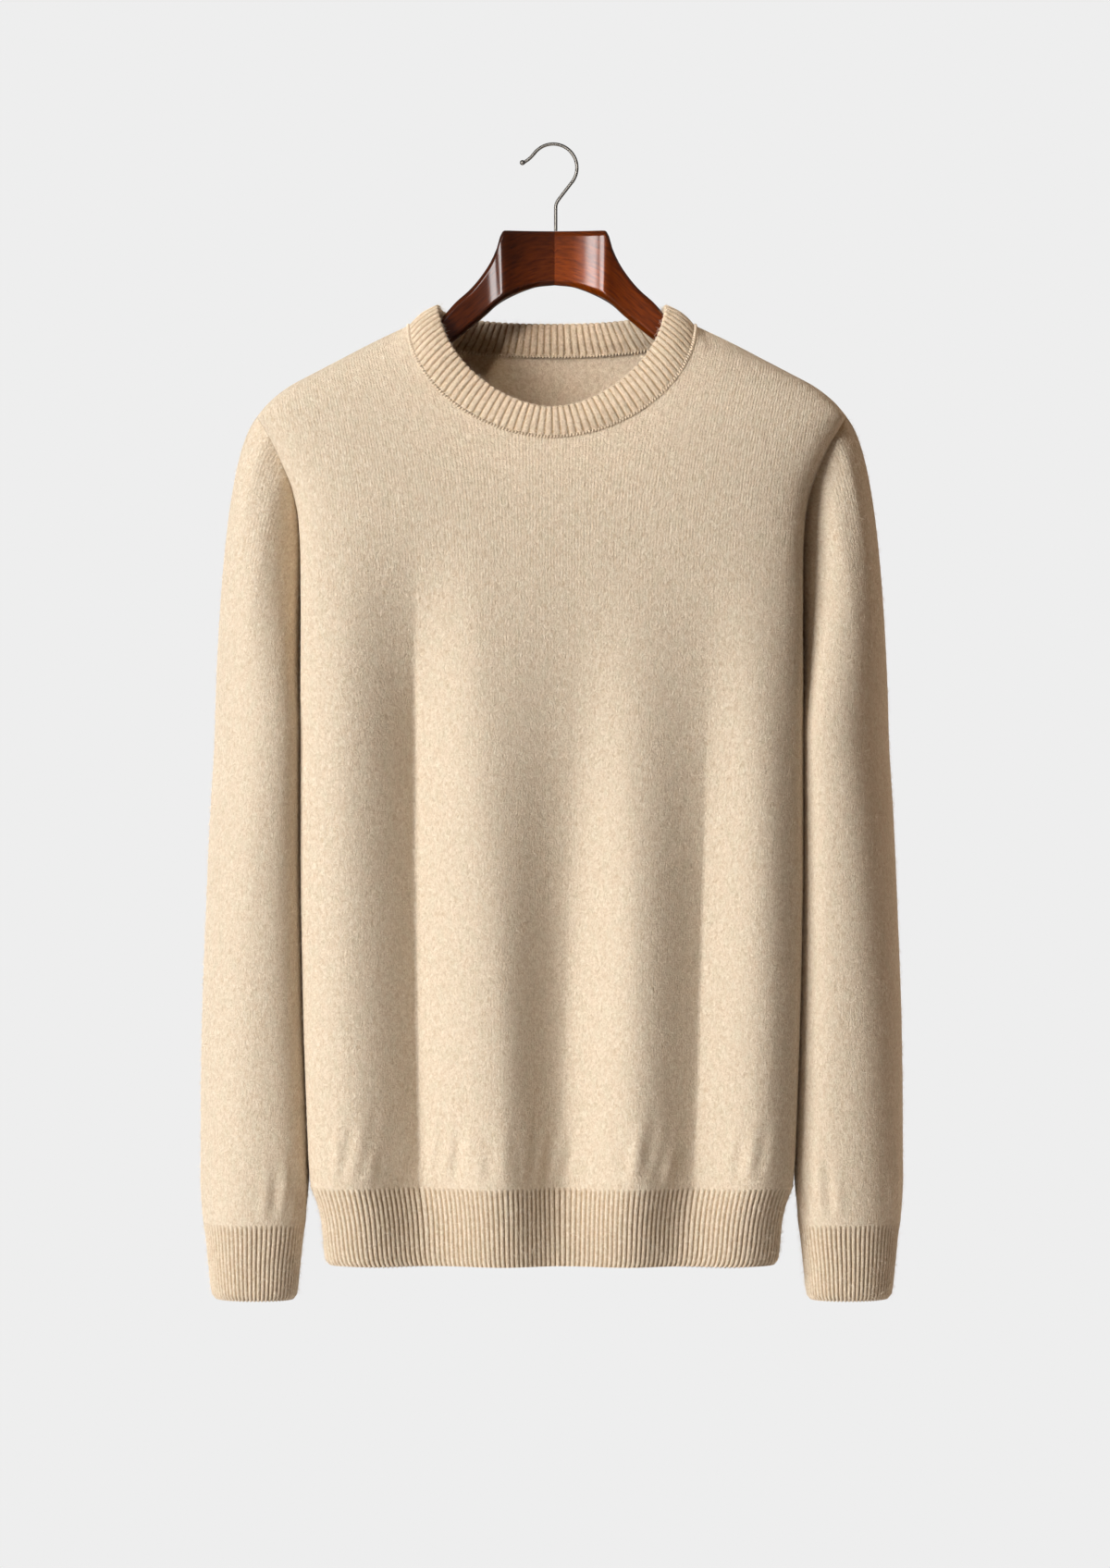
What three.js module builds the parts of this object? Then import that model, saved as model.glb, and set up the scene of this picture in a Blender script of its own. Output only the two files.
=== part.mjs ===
// A crewneck sweater hanging on a wooden hanger.
// Millimetres, +Z up. The front of the sweater faces -Y and +X is the wearer's left.
// The origin is the inside crown of the hook, where the hook bears on a rail.
import * as THREE from 'three';

// ---- Driving dimensions ----------------------------------------------------

const KNIT_WALL = 2;             // jersey panels and sleeves
const RIB_WALL = 2.6;            // hem rib and cuffs
const BAND_WALL = 3.4;           // neckband, knitted double
const SEAM_GAP = 0.3;            // clear distance between two sewn pieces
const BAND_GAP = 0.7;            // the same at the neckline, where both edges curve
const SLEEVE_POWER = 2.2;        // 2 is an ellipse, more is squarer

const HEM_SEAM_Z = -748;         // where the hem rib is joined on
const HEM_EDGE_Z = -804;
const UNDERARM_Z = -400;
const SHOULDER_Z = -196;         // shoulder point, top of the armhole
const NECK_POINT_Z = -130;       // where the shoulder seam meets the neckband
const CUFF_SEAM_Z = -775;
const CUFF_EDGE_Z = -830;

const GARMENT_SHIFT_X = -1;      // the sweater sits a little off the hook's line
const STEM_X = 1.8;              // hook stem, from the crown
const ARMS_SHIFT_X = 1;          // middle of the hanger's arms, from the crown

const BODY_ROWS = 7;             // cells up the side seam
const ARMHOLE_STEPS = 10;        // cells down one half of the armhole
const SHOULDER_COLUMNS = 6;      // cells along one shoulder seam
const SLEEVE_STEPS = 2 * ARMHOLE_STEPS;
const CAP_ROWS = 6;              // cells down the sleeve cap
const STRAIGHT_SHARE = 0.3;      // share of a panel's height before its columns gather
const EVEN_SHARE = 0.25;         // 1 spaces a panel's low columns evenly, 0 crowds them to the sides
const EVENED_ROWS = 6;           // rows of cells below the shoulder that are made even
const EVENING_PASSES = 8;
const BEND_STEPS = 18;           // cells round the hook's bend

// ---- Tables: one row for each level, from the lowest up ---------------------

// Half width and depth of the side seam.
const SIDE_SEAM = [
  { z: HEM_SEAM_Z, x: 173.5, y: 2 },
  { z: -735, x: 174.8, y: 2.3 },
  { z: -700, x: 176.3, y: 3 },
  { z: -600, x: 179.5, y: 4 },
  { z: -500, x: 181, y: 5 },
  { z: UNDERARM_Z, x: 181, y: 5 },
];

// Depth of the line that parts front from back, through the armhole and over the shoulder.
const PARTING_LINE = [
  { z: UNDERARM_Z, y: 5 },
  { z: -300, y: 1 },
  { z: SHOULDER_Z, y: -9.5 },
];

// The armhole edge of each panel, from the underarm to the shoulder point.
const FRONT_ARMHOLE = [
  { z: UNDERARM_Z, x: 181, y: 5 },
  { z: -388, x: 181, y: 4 },
  { z: -350, x: 180.8, y: -2 },
  { z: -300, x: 180.8, y: -8 },
  { z: -271, x: 182, y: -13 },
  { z: -251, x: 185.5, y: -19 },
  { z: -232, x: 192.5, y: -25 },
  { z: -212, x: 202, y: -26 },
  { z: -203, x: 207.5, y: -20 },
  { z: SHOULDER_Z, x: 212, y: -9.5 },
];
const BACK_ARMHOLE = [
  { z: UNDERARM_Z, x: 181, y: 5 },
  { z: -385, x: 180.5, y: 18 },
  { z: -345, x: 179, y: 30 },
  { z: -300, x: 179.5, y: 34 },
  { z: -255, x: 187, y: 31 },
  { z: -225, x: 197, y: 23 },
  { z: -206, x: 206, y: 9 },
  { z: SHOULDER_Z, x: 212, y: -9.5 },
];

// The shoulder seam: half width at each level.
const SHOULDER_SEAM = [
  { z: SHOULDER_Z, x: 212, y: -9.5 },
  { z: -186, x: 203.5, y: -9.2 },
  { z: -175, x: 190, y: -8.6 },
  { z: -164, x: 170, y: -7.7 },
  { z: -154, x: 151, y: -6.8 },
  { z: -143, x: 130, y: -5.9 },
  { z: NECK_POINT_Z, x: 103, y: -4.6 },
];

// Depth of the centre line of the front and of the back, with the power of the section's
// oval: 2 is an ellipse, more is squarer.
const CENTRE_LINE = [
  { z: HEM_SEAM_Z, front: -51, back: 49, power: 5.5 },
  { z: -650, front: -53, back: 51, power: 6 },
  { z: -500, front: -54, back: 52, power: 6 },
  { z: UNDERARM_Z, front: -54, back: 52, power: 6 },
  { z: -345, front: -53.5, back: 51.5, power: 6 },
  { z: -300, front: -53, back: 51, power: 6 },
  { z: -250, front: -52, back: 50, power: 5.5 },
  { z: -213, front: -49, back: 48, power: 4.6 },
  { z: -180, front: -42, back: 43, power: 3.8 },
  { z: -160, front: -35, back: 37, power: 3.3 },
  { z: -148, front: -29, back: 32, power: 3 },
  { z: NECK_POINT_Z, front: -19, back: 24, power: 2.8 },
];

// The ribbed hem, which draws in below the panels.
const HEM_RIB = [
  { z: HEM_EDGE_Z, x: 160.5, y: 0, front: -46, back: 44 },
  { z: -797, x: 163, y: 0.3, front: -47.3, back: 45.3 },
  { z: -775, x: 165.2, y: 1, front: -50, back: 48 },
  { z: -760, x: 168.8, y: 1.6, front: -51, back: 49 },
  { z: HEM_SEAM_Z, x: 173.5, y: 2, front: -51, back: 49 },
];

// Soft vertical folds: the cloth stands out on a ridge and in at a trough.
// x runs across the panel at full width, out is the height at the hem.
const FRONT_FOLDS = [
  { x: -181, out: 0 },
  { x: -150, out: 4 },
  { x: -98, out: -20 },
  { x: -43, out: 6 },
  { x: 14, out: -17 },
  { x: 61, out: 6 },
  { x: 108, out: -14 },
  { x: 151, out: 6 },
  { x: 181, out: 0 },
];
const BACK_FOLDS = [
  { x: -181, out: 0 },
  { x: -148, out: 2 },
  { x: -112, out: -9 },
  { x: -64, out: 4 },
  { x: -22, out: -11 },
  { x: 30, out: 4 },
  { x: 72, out: -10 },
  { x: 120, out: 3 },
  { x: 181, out: 0 },
];

const FOLD_HALF_WIDTH = 181;

// How far the folds have opened at each level.
const FOLD_GROWTH = [
  { z: HEM_EDGE_Z, part: 0.6 },
  { z: HEM_SEAM_Z, part: 1 },
  { z: -600, part: 1 },
  { z: -480, part: 0.85 },
  { z: -360, part: 0.45 },
  { z: -290, part: 0.15 },
  { z: -240, part: 0 },
];

// Sleeve sections below the cap: outer and inner side, centre depth, half depth, and how
// far the front leans towards the body.
const SLEEVE = [
  { z: CUFF_SEAM_Z, outX: 251.5, inX: 175.8, y: -2, half: 38, tilt: 0.12 },
  { z: -740, outX: 253.5, inX: 174.8, y: -1, half: 40, tilt: 0.15 },
  { z: -690, outX: 253.5, inX: 177.1, y: 0, half: 42, tilt: 0.18 },
  { z: -630, outX: 252.8, inX: 179.1, y: 1, half: 45, tilt: 0.2 },
  { z: -560, outX: 250.5, inX: 180.7, y: 2, half: 47, tilt: 0.24 },
  { z: -495, outX: 248, inX: 181.4, y: 3, half: 49, tilt: 0.28 },
  { z: -430, outX: 244.5, inX: 181.4, y: 5, half: 50, tilt: 0.35 },
];
const CUFF = [
  { z: CUFF_EDGE_Z, outX: 243, inX: 183, y: -4, half: 28.5, tilt: 0.1 },
  { z: -806, outX: 247.6, inX: 178.8, y: -3, half: 33.5, tilt: 0.1 },
  { z: CUFF_SEAM_Z, outX: 251, inX: 176.3, y: -2, half: 37.5, tilt: 0.12 },
];

// The hanger's arm from the middle joint outwards: one row for each section.
const HANGER_SWEEP = 0.045;      // forward slant of an arm, per millimetre along it
const HANGER_ARM = [
  { x: 0.15, top: -61.7, bottom: -100.7, half: 5.2 },
  { x: 12, top: -61.7, bottom: -101.9, half: 5.4 },
  { x: 20, top: -61.7, bottom: -104.2, half: 6.1 },
  { x: 28, top: -61.7, bottom: -107.4, half: 7.4 },
  { x: 37, top: -61.9, bottom: -111.8, half: 9.8 },
  { x: 42.5, top: -77, bottom: -115.8, half: 7.7 },
  { x: 49, top: -89, bottom: -122, half: 6.2 },
  { x: 60, top: -103, bottom: -131.5, half: 5.3 },
  { x: 72, top: -114, bottom: -141, half: 5.2 },
  { x: 79, top: -122, bottom: -146, half: 5.3 },
  { x: 85, top: -129, bottom: -150.5, half: 5.5 },
  { x: 104, top: -142, bottom: -164, half: 7 },
  { x: 135, top: -156, bottom: -178, half: 9 },
  { x: 165, top: -172.5, bottom: -192, half: 12 },
  { x: 188, top: -187, bottom: -204, half: 14 },
  { x: 196, top: -194, bottom: -205, half: 12 },
];
const ARM_CHAMFER = 3.5;

// The hook: a wire bent round a rail, ending in a small ball.
const WIRE_RADIUS = 1.2;
const BALL_RADIUS = 1.9;
const HOOK_RADIUS = 17.1;        // centre line of the bend
const HOOK_CENTRE_Z = WIRE_RADIUS - HOOK_RADIUS;
const HOOK_START = 142;          // degrees round the bend, from +X
const HOOK_END = -36;
const BALL_PLACE = { x: -22.2, z: -12.2 };
const BALL_LEAD = { x: 9, z: 1.6 };   // the wire's way out of the ball, and its pull
const BEND_LEAD = 10;            // pull of the bend where the wire swings into it
const STEM_TOP_Z = -41.5;
const STEM_FOOT_Z = -61.4;
const WIRE_SIDES = 8;

// ---- Curves -----------------------------------------------------------------

// Reads a column at a level, by a smooth curve that never overshoots the rows.
function readTable(rows, column, level) {
  const last = rows.length - 1;
  if (level <= rows[0].z) return rows[0][column];
  if (level >= rows[last].z) return rows[last][column];
  const slope = (k) => (rows[k + 1][column] - rows[k][column]) / (rows[k + 1].z - rows[k].z);
  const tangent = (k) => {
    if (k === 0) return slope(0);
    if (k === last) return slope(last - 1);
    const before = slope(k - 1);
    const after = slope(k);
    return before * after <= 0 ? 0 : (2 * before * after) / (before + after);
  };
  let k = 0;
  while (rows[k + 1].z < level) k += 1;
  const span = rows[k + 1].z - rows[k].z;
  const t = (level - rows[k].z) / span;
  return hermite(rows[k][column], tangent(k) * span, rows[k + 1][column], tangent(k + 1) * span, t);
}

function hermite(start, startTangent, end, endTangent, t) {
  const t2 = t * t;
  const t3 = t2 * t;
  return (2 * t3 - 3 * t2 + 1) * start + (t3 - 2 * t2 + t) * startTangent
    + (3 * t2 - 2 * t3) * end + (t3 - t2) * endTangent;
}

function mix(a, b, t) {
  return a + (b - a) * t;
}

// A cosine or sine raised so that an ellipse becomes a squarer oval.
function ovalPart(value, power) {
  return Math.sign(value) * Math.abs(value) ** (2 / power);
}

// Height of the folds at x, by a half cosine wave between each ridge and trough.
function foldHeight(folds, x, z) {
  const limit = folds.length - 2;
  let k = 0;
  while (k < limit && folds[k + 1].x < x) k += 1;
  const t = THREE.MathUtils.clamp((x - folds[k].x) / (folds[k + 1].x - folds[k].x), 0, 1);
  const wave = (1 - Math.cos(Math.PI * t)) / 2;
  return mix(folds[k].out, folds[k + 1].out, wave) * readTable(FOLD_GROWTH, 'part', z);
}

// ---- The body: two panels -----------------------------------------------------

const FRONT = {
  armhole: FRONT_ARMHOLE, centre: 'front', folds: FRONT_FOLDS, face: -1,
  neckDrop: 83, neckPower: 1.9, neckColumns: 16,
};
const BACK = {
  armhole: BACK_ARMHOLE, centre: 'back', folds: BACK_FOLDS, face: 1,
  neckDrop: 18, neckPower: 2.4, neckColumns: 12,
};

// The other coordinate of a point on a unit oval.
function ovalRest(part, power) {
  return (1 - Math.min(Math.abs(part), 1) ** power) ** (1 / power);
}

// The edge of a panel on the +X side at one level.
function panelEdge(panel, z) {
  let rows = panel.armhole;
  if (z <= UNDERARM_Z) rows = SIDE_SEAM;
  if (z >= SHOULDER_Z) rows = SHOULDER_SEAM;
  return { x: readTable(rows, 'x', z), y: readTable(rows, 'y', z) };
}

// A point of the panel's outer face, from its place across and its level. Each level is
// half an oval from the parting line to the centre line, cut off at the armhole.
function panelPoint(panel, x, z) {
  const edge = panelEdge(panel, z);
  const centre = readTable(CENTRE_LINE, panel.centre, z);
  const inArmhole = z > UNDERARM_Z && z < SHOULDER_Z;
  const parting = inArmhole ? readTable(PARTING_LINE, 'y', z) : edge.y;
  const power = readTable(CENTRE_LINE, 'power', z);
  const cut = (edge.y - parting) / (centre - parting);
  const fullHalf = edge.x / ovalRest(cut, power);
  const bulge = ovalRest(x / fullHalf, power);
  const fold = foldHeight(panel.folds, (x / edge.x) * FOLD_HALF_WIDTH, z);
  return new THREE.Vector3(x, mix(parting, centre, bulge) + panel.face * fold, z);
}

// The neckline: a scoop between the two neck points.
function necklinePoint(panel, turn) {
  const x = -SHOULDER_SEAM.at(-1).x * ovalPart(Math.cos(turn), panel.neckPower);
  const z = NECK_POINT_Z - panel.neckDrop * ovalPart(Math.sin(turn), panel.neckPower);
  return panelPoint(panel, x, z);
}

// The top edge of a panel, column by column: shoulder, neckline, shoulder.
function topEdge(panel) {
  const points = [];
  const columns = 2 * SHOULDER_COLUMNS + panel.neckColumns;
  for (let c = 0; c <= columns; c += 1) {
    const fromEnd = Math.min(c, columns - c);
    const side = c < columns / 2 ? -1 : 1;
    if (fromEnd <= SHOULDER_COLUMNS) {
      const z = mix(SHOULDER_Z, NECK_POINT_Z, fromEnd / SHOULDER_COLUMNS);
      const edge = panelEdge(panel, z);
      points.push(new THREE.Vector3(side * edge.x, edge.y, z));
    } else {
      points.push(necklinePoint(panel, (Math.PI * (c - SHOULDER_COLUMNS)) / panel.neckColumns));
    }
  }
  return points;
}

// The levels of the panel's side edge, from the hem to the shoulder point.
function edgeLevels() {
  const levels = [];
  for (let r = 0; r < BODY_ROWS; r += 1) levels.push(mix(HEM_SEAM_Z, UNDERARM_Z, r / BODY_ROWS));
  for (let k = ARMHOLE_STEPS; k >= 0; k -= 1) levels.push(armholeLevel(k));
  return levels;
}

// Levels down the armhole, closest together at the shoulder and the underarm.
function armholeLevel(k) {
  return mix(SHOULDER_Z, UNDERARM_Z, (1 - Math.cos((Math.PI * k) / ARMHOLE_STEPS)) / 2);
}

// Places of the low columns across a panel, from -1 to 1.
function lowPart(share) {
  return mix(-Math.cos(Math.PI * share), 2 * share - 1, EVEN_SHARE);
}

// Moves a point of a flat grid to where its cells grow most even.
function evenPoint(grid, r, c) {
  const at = (up, along) => grid[r + up][c + along];
  const along = at(0, 1).clone().sub(at(0, -1));
  const up = at(1, 0).clone().sub(at(-1, 0));
  const twist = at(1, 1).clone().sub(at(1, -1)).sub(at(-1, 1)).add(at(-1, -1));
  const wideWeight = up.lengthSq();
  const highWeight = along.lengthSq();
  const sum = at(0, 1).clone().add(at(0, -1)).multiplyScalar(wideWeight);
  sum.addScaledVector(at(1, 0), highWeight).addScaledVector(at(-1, 0), highWeight);
  sum.addScaledVector(twist, -0.5 * along.dot(up));
  grid[r][c].copy(sum.divideScalar(2 * (wideWeight + highWeight)));
}

// The panel seen from the front, with the cells below its top edge made even so that none
// folds over at the neck point.
function flatGrid(panel, top) {
  const last = top.length - 1;
  const levels = edgeLevels();
  const grid = levels.map((level) => {
    const rise = (level - HEM_SEAM_Z) / (SHOULDER_Z - HEM_SEAM_Z);
    const edge = panelEdge(panel, level);
    const blend = THREE.MathUtils.smoothstep(rise, STRAIGHT_SHARE, 1);
    return top.map((topPoint, c) => {
      if (rise === 1) return new THREE.Vector2(topPoint.x, topPoint.z);
      if (c === 0 || c === last) return new THREE.Vector2(c === 0 ? -edge.x : edge.x, level);
      const part = mix(lowPart(c / last), topPoint.x / SHOULDER_SEAM[0].x, blend);
      return new THREE.Vector2(part * edge.x, mix(HEM_SEAM_Z, topPoint.z, rise));
    });
  });
  for (let pass = 0; pass < EVENING_PASSES; pass += 1) {
    for (let r = levels.length - 1 - EVENED_ROWS; r < levels.length - 1; r += 1) {
      for (let c = 1; c < last; c += 1) evenPoint(grid, r, c);
    }
  }
  return grid;
}

// The whole panel as rows of points, from the hem up and from -X to +X.
function panelGrid(panel) {
  const top = topEdge(panel);
  const last = top.length - 1;
  const flat = flatGrid(panel, top);
  return flat.map((row, r) => row.map((place, c) => {
    if (r === flat.length - 1) return top[c];
    if (c > 0 && c < last) return panelPoint(panel, place.x, place.y);
    return new THREE.Vector3(place.x, panelEdge(panel, place.y).y, place.y);
  }));
}

// The hem rib follows the panel's columns, so that the two meet all along the seam.
function hemGrid(panel) {
  const columns = 2 * SHOULDER_COLUMNS + panel.neckColumns;
  return HEM_RIB.map((level) => {
    const z = Math.min(level.z, HEM_SEAM_Z - SEAM_GAP);
    const row = [];
    for (let c = 0; c <= columns; c += 1) {
      const part = lowPart(c / columns);
      const bulge = ovalRest(part, CENTRE_LINE[0].power);
      const x = part * readTable(HEM_RIB, 'x', z);
      const y = mix(readTable(HEM_RIB, 'y', z), readTable(HEM_RIB, panel.centre, z), bulge);
      const fold = foldHeight(panel.folds, part * FOLD_HALF_WIDTH, z);
      row.push(new THREE.Vector3(x, y + panel.face * fold, z));
    }
    return row;
  });
}

// ---- Walls --------------------------------------------------------------------

// Outward normals of a grid. Rows run up and columns run towards +X, and face is the
// side that the outer face looks to; around joins the last column to the first.
// On a level row, at a seam that runs round at one height, the normals are level too.
function gridNormals(grid, face, around, isLevel) {
  const lastRow = grid.length - 1;
  const count = grid[0].length;
  return grid.map((row, r) => row.map((point, c) => {
    const before = around ? (c + count - 1) % count : Math.max(c - 1, 0);
    const after = around ? (c + 1) % count : Math.min(c + 1, count - 1);
    const across = row[after].clone().sub(row[before]);
    const up = grid[Math.min(r + 1, lastRow)][c].clone().sub(grid[Math.max(r - 1, 0)][c]);
    const normal = across.cross(up).normalize().multiplyScalar(-face);
    return isLevel(r) ? normal.setZ(0).normalize() : normal;
  }));
}

// The inner face of a wall, with a rule that may keep a point back from a seam.
function innerGrid(grid, normals, wall, keepBack) {
  return grid.map((row, r) => row.map((point, c) => {
    const inner = point.clone().addScaledVector(normals[r][c], -wall);
    if (keepBack) keepBack(inner, r, c);
    return inner;
  }));
}

// A closed wall from its outer and inner grids, with a rim round each open edge.
function wallGeometry(outer, inner, around) {
  const rows = outer.length;
  const columns = outer[0].length;
  const points = [...outer.flat(), ...inner.flat()];
  const shift = rows * columns;
  const at = (r, c) => r * columns + (c % columns);
  const triangles = [];
  const quad = (a, b, c, d) => triangles.push([a, b, c], [a, c, d]);
  const cells = around ? columns : columns - 1;
  for (let r = 0; r < rows - 1; r += 1) {
    for (let c = 0; c < cells; c += 1) {
      quad(at(r, c), at(r, c + 1), at(r + 1, c + 1), at(r + 1, c));
      quad(shift + at(r, c), shift + at(r + 1, c), shift + at(r + 1, c + 1), shift + at(r, c + 1));
    }
  }
  for (let c = 0; c < cells; c += 1) {
    const top = rows - 1;
    quad(at(0, c), shift + at(0, c), shift + at(0, c + 1), at(0, c + 1));
    quad(at(top, c), at(top, c + 1), shift + at(top, c + 1), shift + at(top, c));
  }
  for (let r = 0; !around && r < rows - 1; r += 1) {
    const end = columns - 1;
    quad(at(r, 0), at(r + 1, 0), shift + at(r + 1, 0), shift + at(r, 0));
    quad(at(r, end), shift + at(r, end), shift + at(r + 1, end), at(r + 1, end));
  }
  return closedGeometry(points, triangles);
}

// A solid through rings of equal length: capped at both ends, or joined end to end.
function loftGeometry(rings, joined) {
  const sides = rings[0].length;
  const points = rings.flat();
  const triangles = [];
  const steps = joined ? rings.length : rings.length - 1;
  for (let k = 0; k < steps; k += 1) {
    const next = (k + 1) % rings.length;
    for (let s = 0; s < sides; s += 1) {
      const a = k * sides + s;
      const b = k * sides + ((s + 1) % sides);
      const c = next * sides + ((s + 1) % sides);
      const d = next * sides + s;
      triangles.push([a, b, c], [a, c, d]);
    }
  }
  if (!joined) {
    const lastRing = (rings.length - 1) * sides;
    for (let s = 1; s < sides - 1; s += 1) {
      triangles.push([0, s + 1, s], [lastRing, lastRing + s, lastRing + s + 1]);
    }
  }
  return closedGeometry(points, triangles);
}

// A geometry whose faces point out, whichever way its points were listed.
function closedGeometry(points, triangles) {
  let volume = 0;
  for (const [a, b, c] of triangles) {
    volume += points[a].dot(points[b].clone().cross(points[c]));
  }
  const faces = volume > 0 ? triangles : triangles.map(([a, b, c]) => [a, c, b]);
  const geometry = new THREE.BufferGeometry();
  const numbers = points.flatMap((point) => point.toArray());
  geometry.setAttribute('position', new THREE.Float32BufferAttribute(numbers, 3));
  geometry.setIndex(faces.flat());
  geometry.computeVertexNormals();
  return geometry;
}

// ---- Sewing the pieces --------------------------------------------------------

// A body wall, moved out by half a seam's gap. At the side and shoulder seams its rim
// stands square to the seam, and along the armhole and the neckline no point passes
// over the edge.
function panelWall(panel, grid, wall, isLevel) {
  const normals = gridNormals(grid, panel.face, false, isLevel);
  const lastRow = grid.length - 1;
  const lastColumn = grid[0].length - 1;
  const outer = grid.map((row, r) => row.map((point, c) => {
    const onSideSeam = (c === 0 || c === lastColumn) && point.z <= UNDERARM_Z;
    const onShoulder = r === lastRow && point.z > UNDERARM_Z && fromSide(grid, c) <= SHOULDER_COLUMNS;
    if (onSideSeam || onShoulder) normals[r][c].setY(0).normalize();
    return point.clone().setY(point.y + panel.face * 0.5 * SEAM_GAP);
  }));
  const keepBack = (inner, r, c) => {
    if (grid[r][c].z <= UNDERARM_Z) return;
    const onArmhole = (c === 0 || c === lastColumn) && r < lastRow;
    const onNeckline = r === lastRow && fromSide(grid, c) >= SHOULDER_COLUMNS;
    if (!onArmhole && !onNeckline) return;
    const normal = normals[r][c];
    const direction = onArmhole ? armholeDirection : necklineDirection;
    const outward = direction(outer, normal, r, c);
    const past = inner.clone().sub(outer[r][c]).dot(outward);
    if (past > 0) inner.addScaledVector(outward, -past);
  };
  return wallGeometry(outer, innerGrid(outer, normals, wall, keepBack), false);
}

// How many columns lie between this one and the nearer side edge.
function fromSide(grid, c) {
  return Math.min(c, grid[0].length - 1 - c);
}

// The direction in the cloth that leads across the armhole edge, away from the panel.
function armholeDirection(grid, normal, r, c) {
  const along = grid[r + 1][c].clone().sub(grid[r - 1][c]);
  const inside = c === 0 ? grid[r][1] : grid[r][c - 1];
  return acrossEdge(normal, along, grid[r][c].clone().sub(inside));
}

// The direction in the cloth that leads over the neckline, into the neckband. At the
// neck point it is the run of the shoulder seam.
function necklineDirection(grid, normal, r, c) {
  const top = grid[r];
  if (fromSide(grid, c) === SHOULDER_COLUMNS) {
    const fromShoulder = c < top.length / 2 ? top[c - 1] : top[c + 1];
    return top[c].clone().sub(fromShoulder).normalize();
  }
  const towardNeck = new THREE.Vector3(0, 0, NECK_POINT_Z).sub(top[c]);
  return acrossEdge(normal, top[c + 1].clone().sub(top[c - 1]), towardNeck);
}

// The direction in the cloth that is square to an edge, on the side of a hint.
function acrossEdge(normal, along, hint) {
  const across = normal.clone().cross(along).normalize();
  return across.dot(hint) < 0 ? across.negate() : across;
}

// The way the cloth leads into the sleeve at the two ends of the armhole.
const OVER_SHOULDER = new THREE.Vector3(0.6, 0, -0.8);
const UNDER_ARM = new THREE.Vector3(0.1, 0, -0.99);

// The armhole of the +X side as a loop: shoulder, front, underarm, back.
function armholeLoop(frontGrid, backGrid) {
  const lastRow = frontGrid.length - 1;
  const frontNormals = gridNormals(frontGrid, FRONT.face, false, () => false);
  const backNormals = gridNormals(backGrid, BACK.face, false, () => false);
  const loop = [];
  for (let k = 0; k < SLEEVE_STEPS; k += 1) {
    const onFront = k <= ARMHOLE_STEPS;
    const step = onFront ? k : SLEEVE_STEPS - k;
    const r = lastRow - step;
    const grid = onFront ? frontGrid : backGrid;
    const normals = onFront ? frontNormals : backNormals;
    const c = grid[r].length - 1;
    let outward = OVER_SHOULDER;
    if (step === ARMHOLE_STEPS) outward = UNDER_ARM;
    else if (step > 0) outward = armholeDirection(grid, normals[r][c], r, c);
    loop.push({ point: grid[r][c], outward });
  }
  return loop;
}

// One ring of the sleeve or the cuff, in the same order as the armhole loop: an oval whose
// front leans towards the body, as wide as the table says.
function sleeveRing(table, z) {
  const outX = readTable(table, 'outX', z);
  const inX = readTable(table, 'inX', z);
  const y = readTable(table, 'y', z);
  const half = readTable(table, 'half', z);
  const tilt = readTable(table, 'tilt', z);
  const width = ovalRest(tilt, SLEEVE_POWER / (SLEEVE_POWER - 1));
  const ring = [];
  for (let k = 0; k < SLEEVE_STEPS; k += 1) {
    const turn = (2 * Math.PI * k) / SLEEVE_STEPS;
    const across = ovalPart(Math.cos(turn), SLEEVE_POWER);
    const deep = ovalPart(Math.sin(turn), SLEEVE_POWER);
    const sideways = width * across - tilt * deep;
    ring.push(new THREE.Vector3(mix(inX, outX, (sideways + 1) / 2), y - half * deep, z));
  }
  return ring;
}

// The cap: each thread leaves the armhole outwards and turns down into the sleeve. These
// are the lengths of its tangents, with the part that is added towards the shoulder.
const CAP_OUT = 8;
const CAP_OUT_SHOULDER = 60;
const CAP_DEEP = 16;
const CAP_DOWN = 40;
const CAP_DOWN_SHOULDER = 32;
const CAP_END_OUT = 3;
const CAP_END_FALL = 1.28;       // as a share of the thread's drop

function capRows(loop, firstRing) {
  const rows = [];
  for (let r = 0; r < CAP_ROWS; r += 1) {
    const t = r / CAP_ROWS;
    rows.push(loop.map(({ point, outward }, k) => {
      const turn = (2 * Math.PI * k) / SLEEVE_STEPS;
      const near = (1 + Math.cos(turn)) / 2;
      const start = point.clone().addScaledVector(outward, SEAM_GAP);
      const leaveX = CAP_OUT + CAP_OUT_SHOULDER * Math.sqrt(near);
      const leaveY = -CAP_DEEP * Math.sin(turn);
      const leaveZ = -CAP_DOWN - CAP_DOWN_SHOULDER * near;
      const end = firstRing[k];
      return new THREE.Vector3(
        hermite(start.x, leaveX, end.x, CAP_END_OUT, t),
        hermite(start.y, leaveY, end.y, 0, t),
        hermite(start.z, leaveZ, end.z, CAP_END_FALL * (end.z - point.z), t),
      );
    }));
  }
  return rows;
}

function sleeveGrid(loop) {
  const rings = SLEEVE.map(({ z }) => sleeveRing(SLEEVE, z)).reverse();
  const rows = [...capRows(loop, rings[0]), ...rings];
  rows[rows.length - 1].forEach((point) => point.setZ(point.z + SEAM_GAP));
  return rows;
}

// The two faces of a sleeve's or a cuff's wall.
function tubeWall(grid, wall, isLevel, keepBack) {
  const normals = gridNormals(grid, -1, true, isLevel);
  return { outer: grid, inner: innerGrid(grid, normals, wall, keepBack) };
}

// A sleeve's face as two stretches with a seam's gap between them, above and below the
// first level ring. Each stretch is a simpler tube than the whole sleeve.
function parted(grid) {
  const lower = grid.slice(CAP_ROWS).map((row, r) => row.map((point) => (
    r === 0 ? point.clone().setZ(point.z - SEAM_GAP) : point
  )));
  return { upper: grid.slice(0, CAP_ROWS + 1), lower };
}

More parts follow.
